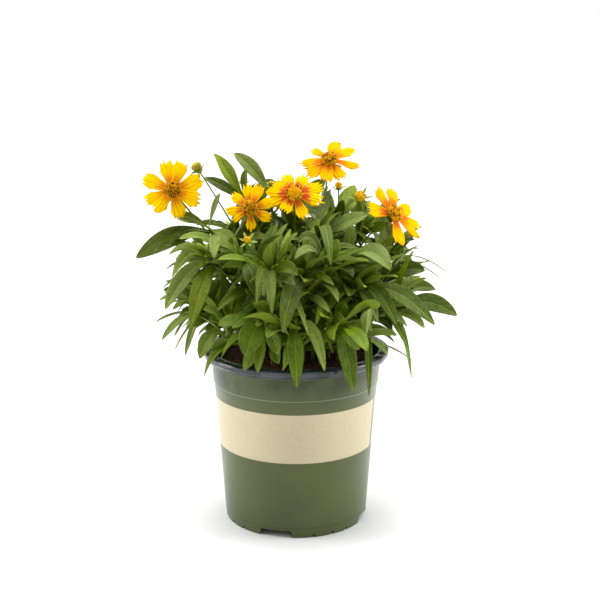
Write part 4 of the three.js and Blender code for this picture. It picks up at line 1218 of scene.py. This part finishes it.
def band_mask(mat, x, y, level):
    """1 on the band: between its edges, off its seam in front, and outside the pot."""
    seam = math.radians(BAND_SEAM["turn"])
    side = mat.math("ADD", mat.times(x, math.cos(seam)), mat.times(y, math.sin(seam)))
    front = mat.math("ADD", mat.times(x, math.sin(seam)), mat.times(y, -math.cos(seam)))
    half = BAND_SEAM["half_width"]
    off_seam = mat.ramp(mat.off(side), (half - 0.1) * MM, (half + 0.1) * MM)
    round_pot = mat.math("MAXIMUM", off_seam, mat.ramp(front, -MM, MM, 1, 0))
    above = mat.ramp(level, BAND[0] - BAND_EDGE, BAND[0] + BAND_EDGE)
    below = mat.ramp(level, BAND[1] - BAND_EDGE, BAND[1] + BAND_EDGE, 1, 0)
    from_axis = mat.node("VectorMath", {0: mat.at(x, y)}, output="Value", operation="LENGTH")
    outside = mat.ramp(from_axis, (FOOT_RADIUS + 3) * MM, (FOOT_RADIUS + 3.6) * MM)
    return mat.times(above, below, round_pot, outside)


def pot_material():
    """Satin olive plastic with scuffs, painted shade and highlight lines, and a bare cream band
    round it.
    """
    mat = Material("nursery_pot", Specular_IOR_Level=0.46, Specular_Tint=(0.66, 0.74, 0.44, 1),
                   Coat_Weight=0.14, Coat_Roughness=0.2)
    x, y, z = mat.node("SeparateXYZ", {"Vector": mat.place()}).node.outputs
    level = mat.times(z, 1 / MM)
    clouds = mat.noise(14, 4)
    olive = mat.mix(mat.ramp(clouds, 0.35, 0.65), (67, 75, 43), (75, 83, 49))
    scuffs = mat.noise(1, 5, mat.stretched(160, 160, 900))
    olive = mat.layer(olive, (96, 104, 72), scuffs, 0.62, 0.8, 0, 0.25)
    # A darker line round the foot at the floor's level: painted shade of the heel.
    olive = mat.layer(olive, (44, 50, 26), mat.off(level, 9), 0.3, 1.2, 0.35, 0)
    # Dark blotches over the upper wall: painted shade and painted reflection of the leaves that
    # hang over it.
    painted_leaf_shade = mat.times(mat.ramp(mat.noise(22, 3), 0.38, 0.58, 0.4, 1),
                       mat.ramp(level, BAND[1] - 2, LIP_LEVEL - 6))
    olive = mat.mix(painted_leaf_shade, olive, (26, 31, 14))
    band = band_mask(mat, x, y, level)
    fibres = mat.ramp(mat.noise(300, 3), 0.35, 0.65)
    colour = mat.mix(band, olive, mat.mix(fibres, (185, 173, 143), (189, 177, 147)))
    # Pale lines at the collar's step and under the lip: painted highlights on their edges.
    for highlight_level in (COLLAR_LEVEL + 0.2, LIP_LEVEL - 0.4):
        colour = mat.layer(colour, (150, 156, 128), mat.off(level, highlight_level), 0.15, 0.5, 0.5, 0)
    satin = mat.ramp(clouds, 0.3, 0.7, 0.3, 0.4)
    rough = mat.node("Mix", {"Factor": band, "A": satin, "B": 0.46})
    grain = mat.bump(mat.noise(900, 2), 0.0002, 0.12)
    return mat.made(colour, rough, mat.bump(band, 0.00008, 0.6, grain))


def rim_material():
    """The glossy blue-black plastic of the rolled rim, a little uneven from the mould, with painted
    glints.
    """
    mat = Material("pot_rim", Specular_IOR_Level=0.5)
    streaks = mat.noise(60, 4)
    # Paler streaks in the rim's colour: painted glints along it.
    colour = mat.mix(mat.ramp(streaks, 0.35, 0.7), (14, 18, 22), (50, 56, 62))
    waves = mat.bump(mat.noise(90, 2), 0.0012, 0.8)
    relief = mat.bump(mat.noise(700, 3), 0.0003, 0.3, waves)
    return mat.made(colour, mat.ramp(streaks, 0.3, 0.7, 0.1, 0.24), relief)


def soil_material():
    """Dark crumbs with paler flecks, and fibrous bark."""
    mat = Material("potting_soil", Specular_IOR_Level=0.25)
    tone, kind = mat.values("tone", "kind")
    crumbs = mat.ramp(mat.noise(420, 5), 0.35, 0.65)
    earth = mat.mix(crumbs, (38, 24, 14), (84, 52, 28))
    earth = mat.layer(earth, (150, 88, 42), mat.noise(900, 2), 0.62, 0.7, 0, 0.7)
    bark = mat.mix(tone, (46, 28, 16), (150, 84, 40))
    fibres = mat.noise(1, 4, mat.stretched(300, 1400, 700))
    bark = mat.layer(bark, (58, 34, 20), fibres, 0.35, 0.7, 0, 0.6)
    colour = mat.layer(earth, bark, kind, 0.4, 0.6)
    relief = mat.bump(mat.noise(500, 6), 0.0015, 0.8)
    return mat.made(colour, mat.ramp(crumbs, 0, 1, 0.8, 0.95), relief)


# ---- Pot and soil ----

POT_SEGMENTS = 192
RIM_GROOVE = dict(depth=0.7, turn=0.9, width=0.16)
CROWN_ROUND = (1.2, 1.4)  # how far its rounded edge goes in and down
RIM_DARK_FROM = LIP_LEVEL + 0.1
HOLE_DEPTH = 8
SHARP = 32  # degrees between faces that meet in a hard edge


def wall_radius(level):
    return FOOT_RADIUS + (BODY_TOP_RADIUS - FOOT_RADIUS) * level / LIP_LEVEL


def at_azimuth(degrees, radius):
    turn = math.radians(degrees)
    return radius * math.sin(turn), -radius * math.cos(turn)


def object_of(bm, name):
    bmesh.ops.recalc_face_normals(bm, faces=bm.faces)
    mesh = bpy.data.meshes.new(name)
    bm.to_mesh(mesh)
    bm.free()
    return link(name, mesh)


def band_of_faces(bm, near, far):
    """Faces between two closed loops of points."""
    for k in range(len(near)):
        n = (k + 1) % len(near)
        bm.faces.new((near[k], near[n], far[n], far[k]))


def turned(bm, profile):
    """A closed profile of (radius, height) points turned about the axis, in millimetres."""
    rings = []
    for a in turns(POT_SEGMENTS):
        sine, cosine = math.sin(a), math.cos(a)
        rings.append([bm.verts.new((r * sine * MM, -r * cosine * MM, z * MM)) for r, z in profile])
    for near, far in zip(rings, rings[1:] + rings[:1]):
        band_of_faces(bm, near, far)


def rim_profile():
    """The rolled rim: its bulge with a groove, its crown, and its inner side."""
    groove, low = RIM_GROOVE, LIP_LEVEL + 0.3
    bulge = []
    for t in np.linspace(0, math.pi / 2, 19):
        dip = groove["depth"] * math.exp(-((t - groove["turn"]) / groove["width"]) ** 2)
        bulge.append((LIP_RADIUS + (RIM_RADIUS - LIP_RADIUS) * math.sin(t) - dip,
                      low + (RIM_WIDEST_LEVEL - low) * (1 - math.cos(t))))
    reach, drop = CROWN_ROUND
    crown = [(RIM_RADIUS - reach + reach * math.cos(t), RIM_TOP - drop + drop * math.sin(t))
             for t in np.linspace(0, math.pi / 2, 5)]
    inside = [(RIM_INNER_RADIUS + 1 - math.sin(t), RIM_TOP - 1 + math.cos(t))
              for t in np.linspace(0, math.pi / 2, 4)]
    return bulge + crown + inside


def pot_profile():
    """The shell's section, with its corners rounded, from the foot out, up and back inside."""
    foot_inside = FOOT_RADIUS - FOOT_WIDTH
    collar, lip = wall_radius(COLLAR_LEVEL), wall_radius(LIP_LEVEL) + COLLAR_STEP
    step = collar + COLLAR_STEP
    inner_lip, inner_floor = wall_radius(LIP_LEVEL) - WALL, wall_radius(FLOOR_TOP) - WALL
    walls = [(wall_radius(level), level) for level in (3, 8, 9, 20, 60, 100, COLLAR_LEVEL - 0.7)]
    return [
        (0.01, FLOOR_UNDERSIDE), (30, FLOOR_UNDERSIDE), (foot_inside - 0.8, FLOOR_UNDERSIDE),
        (foot_inside, 0.4), (foot_inside + 0.4, 0), (FOOT_RADIUS - 0.4, 0), (FOOT_RADIUS, 0.4),
        *walls, (collar + 0.1, COLLAR_LEVEL - 0.4), (step - 0.1, COLLAR_LEVEL + 0.1),
        (step, COLLAR_LEVEL + 0.4), (lip - 0.1, LIP_LEVEL - 1), (lip, LIP_LEVEL - 0.2),
        (LIP_RADIUS - 0.3, LIP_LEVEL), *rim_profile(),
        (inner_lip + 0.4, LIP_LEVEL + 1), (inner_lip, LIP_LEVEL - 0.5),
        (inner_floor, FLOOR_TOP + 1), (inner_floor - 1, FLOOR_TOP), (0.01, FLOOR_TOP),
    ]


def notch_solid(bm, azimuth, notch):
    """A bar through the foot ring, a little wider at the foot than at the top."""
    half, half_top, height = notch["foot"] / 2, notch["top"] / 2, notch["height"]
    section = ((-half, -1), (half, -1), (half, 0), (half_top, height), (-half_top, height),
               (-half, 0))
    way = at_azimuth(azimuth + 90, 1)
    ends = []
    for deep in (NOTCH_REACH, -NOTCH_REACH):
        x, y = at_azimuth(azimuth, FOOT_RADIUS + deep)
        ends.append([bm.verts.new((MM * (x + across * way[0]), MM * (y + across * way[1]),
                                   MM * level)) for across, level in section])
    bm.faces.new(ends[0])
    bm.faces.new(ends[1][::-1])
    band_of_faces(bm, *ends)


def pot_cutter():
    """The notches of the foot ring and the drainage holes."""
    bm = bmesh.new()
    for turn in range(WIDE_NOTCH["count"]):
        azimuth = WIDE_NOTCH["first"] + turn * 360 / WIDE_NOTCH["count"]
        notch_solid(bm, azimuth, WIDE_NOTCH)
        for offset in SMALL_NOTCH["turns"]:
            notch_solid(bm, azimuth + offset, SMALL_NOTCH)
    radius = DRAIN_HOLE["radius"] * MM
    for turn in range(DRAIN_HOLE["count"]):
        azimuth = DRAIN_HOLE["first"] + turn * 360 / DRAIN_HOLE["count"]
        x, y = at_azimuth(azimuth, DRAIN_HOLE["from_axis"])
        drill = bmesh.ops.create_cone(bm, cap_ends=True, segments=32, radius1=radius,
                                      radius2=radius, depth=HOLE_DEPTH * MM)
        bmesh.ops.translate(bm, verts=drill["verts"], vec=(x * MM, y * MM, FLOOR_TOP * MM))
    return object_of(bm, "cutter")


def cut(piece, cutter):
    """piece with the cutter's solids taken out of it."""
    modifier = piece.modifiers.new("cut", "BOOLEAN")
    modifier.object, modifier.operation, modifier.solver = cutter, "DIFFERENCE", "EXACT"
    evaluated = piece.evaluated_get(bpy.context.evaluated_depsgraph_get())
    mesh = bpy.data.meshes.new_from_object(evaluated)
    piece.modifiers.clear()
    piece.data = mesh
    bpy.data.objects.remove(cutter)


def pot_piece(body, rim):
    bm = bmesh.new()
    turned(bm, pot_profile())
    bmesh.ops.remove_doubles(bm, verts=bm.verts, dist=0.02 * MM)
    pot = object_of(bm, "nursery_pot")
    cut(pot, pot_cutter())
    mesh = pot.data
    mesh.materials.clear()
    mesh.materials.append(body)
    mesh.materials.append(rim)
    for face in mesh.polygons:
        face.material_index = 1 if face.center.z > RIM_DARK_FROM * MM else 0
    mesh.polygons.foreach_set("use_smooth", [True] * len(mesh.polygons))
    mesh.set_sharp_from_angle(angle=math.radians(SHARP))
    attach(pot, "root")
    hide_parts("pot")


SOIL_RINGS = 40
SOIL_TURNS = 160
CHIPS = 240
CHIP_REACH = 70
CHIP_SIZES = ((2, 7), (1, 2.6), (0.5, 1.4))  # length, width and thickness
CHIP_PROFILE = ((-0.5, 0.55), (-0.35, 0.95), (0.1, 1), (0.38, 0.85), (0.5, 0.4))


def soil_level(x, y):
    """The height of the soil at a place: low at the rim, with lumps and crumbs."""
    r = np.hypot(x, y)
    level = mix(SOIL_LEVEL, SOIL_EDGE_LEVEL, smooth(r, 46, 73))
    sin = np.sin
    lumps = 0.8 * sin(0.31 * x + 1.3) * sin(0.37 * y + 0.4) + 0.6 * sin(0.83 * x + 0.61 * y)
    crumbs = 0.5 * sin(1.9 * x + 2.3 * sin(0.8 * y)) * sin(2.1 * y + 1.7 * sin(0.9 * x))
    return level + (lumps + crumbs) * smooth(r, 74, 66)


def chip(shape, centre, random):
    """A splinter of bark: a flat six-sided bar with broken ends."""
    draws = [next(random) for _ in range(8)]
    way = unit(vector(draws[0] - 0.5, draws[1] - 0.5, 0.25 * (draws[2] - 0.5)))
    side = unit(np.cross(way, UP))
    up = np.cross(side, way)
    length, width, thick = [between(*pair) for pair in zip(CHIP_SIZES, draws[3:6])]
    angle = turns(6)
    rings = []
    for share, reach in CHIP_PROFILE:
        ragged = 1 + 0.25 * np.sin(angle * 2 + 9 * draws[6] + 4 * share)
        broken = length * share + 0.3 * np.sin(3 * angle + 7 * draws[7])
        rings.append(around(centre + way * broken[:, None], side * width / 2, up * thick / 2,
                            reach * ragged, angle))
    shape.add(rings, kind=1, tone=draws[6])


def soil_piece(material):
    """The soil's lumpy top, its sides and base inside the pot, and chips of bark on it."""
    shape = Shape()
    top_radius = wall_radius(SOIL_EDGE_LEVEL) - WALL - GAP
    floor_radius = wall_radius(FLOOR_TOP) - WALL - 2 * GAP - 1
    angle = -turns(SOIL_TURNS)
    rings = [ring(angle, radius, 0) for radius in np.linspace(1, top_radius, SOIL_RINGS)]
    for points in rings:
        points[:, 2] = soil_level(points[:, 0], points[:, 1])
    rings.extend(ring(angle, radius, FLOOR_TOP + GAP) for radius in (floor_radius, 1))
    shape.add(rings)
    random = random_stream(2024)
    for _ in range(CHIPS):
        radius, turn = CHIP_REACH * math.sqrt(next(random)), 2 * math.pi * next(random)
        x, y, _ = level_way(turn) * radius
        chip(shape, vector(x, y, soil_level(x, y) + 0.4), random)
    shape.piece("potting_soil", material, "soil", "soil")


# ---- Stage, light and camera ----

FLOOR_SIZE = 6
ROOM_LIGHT = (0.44, 0.95)  # in front of the object and behind it
KEY = dict(way=(0.03, -0.15, -1), power=3.6, spread=55)
SIDES = dict(place=(1.2, -0.05, 0.45), aim=(0, 0, 0.15), size=(0.5, 1.1), power=12)
CAMERA = dict(place=(0.00374, -0.99231, 0.42074), pitch=12.52, lens=67.97, sensor=36)


def floor():
    """A wide pale floor."""
    bm = bmesh.new()
    bmesh.ops.create_circle(bm, cap_ends=True, segments=96, radius=FLOOR_SIZE)
    made = object_of(bm, "floor")
    mat = Material("floor", Specular_IOR_Level=0.0)
    dust = mat.ramp(mat.noise(3, 2), 0.3, 0.7, 0.8, 0.82)
    made.data.materials.append(mat.made(dust, 0.9))


def room():
    """White to look at, and a dimmer white as the light that falls on the object."""
    world = bpy.data.worlds.new("room")
    bpy.context.scene.world = world
    nodes = Nodes(world)
    background = nodes.tree.nodes["Background"]
    background.inputs["Color"].default_value = (1, 1, 1, 1)
    way = nodes.node("TexCoord", output="Generated")
    depth = nodes.node("SeparateXYZ", {0: way}, output="Y")
    lit = nodes.ramp(depth, -0.1, 0.7, *ROOM_LIGHT)
    seen = nodes.node("LightPath", output="Is Camera Ray")
    nodes.feed(background.inputs["Strength"], nodes.math("MAXIMUM", seen, lit))


def light(name, kind, way, power, **settings):
    data = bpy.data.lights.new(name, kind)
    data.energy = power
    for setting, value in settings.items():
        setattr(data, setting, value)
    made = link(name, data)
    made.rotation_euler = Vector(way).to_track_quat("-Z", "Y").to_euler()
    return made


def lights():
    """A broad soft light from above, and a tall soft box on each side."""
    light("key", "SUN", KEY["way"], KEY["power"], angle=math.radians(KEY["spread"]))
    x, y, z = SIDES["place"]
    width, height = SIDES["size"]
    for side in (-1, 1):
        place = Vector((x * side, y, z))
        box = light(f"side_{side}", "AREA", Vector(SIDES["aim"]) - place, SIDES["power"],
                    shape="RECTANGLE", size=width, size_y=height)
        box.location = place


def camera():
    data = bpy.data.cameras.new("camera")
    data.lens, data.sensor_width = CAMERA["lens"], CAMERA["sensor"]
    made = link("camera", data)
    made.location = CAMERA["place"]
    made.rotation_euler = (math.radians(90 - CAMERA["pitch"]), 0, 0)
    bpy.context.scene.camera = made
    bpy.context.scene.view_settings.view_transform = "Standard"


# ---- Assembly ----


def bloom_pieces(number, name, ray_finish, floret_finish):
    _, centre, facing, reach, lift, plans, orange, flush, disc_looks = BLOOMS[name]
    bloom = Bloom(centre, facing)
    rays = Shape()
    for i, plan in enumerate(plans):
        ray(rays, bloom, plan, i, (reach, lift, orange, flush), 1000 * number + 37 * i + 5)
    rays.piece(f"ray_florets_{number + 1}", ray_finish, "ray_florets", f"rays_{name}")
    florets = Shape()
    disc(florets, bloom, min(1, reach / FULL_DISC_REACH), disc_looks, number + 3)
    florets.piece(f"disc_florets_{number + 1}", floret_finish, "disc_florets", f"disc_{name}")


def bud_piece(number, name, mat):
    _, _, centre, facing, radius, _, openness = BUDS[name]
    head = Shape()
    bud_head(head, Bloom(centre, facing), radius, openness, number)
    head.piece(f"bud_head_{number + 1}", mat, "bud_head", name)


camera()
floor()
room()
lights()

foliage = foliage_material()
ray_finish, floret_finish, bud_finish = ray_material(), floret_material(), bud_material()
for stem in grow_plant():
    stem_piece(stem, foliage)
for number, name in enumerate(BLOOMS):
    bloom_pieces(number, name, ray_finish, floret_finish)
for number, name in enumerate(BUDS):
    bud_piece(number, name, bud_finish)
pot_piece(pot_material(), rim_material())
soil_piece(soil_material())
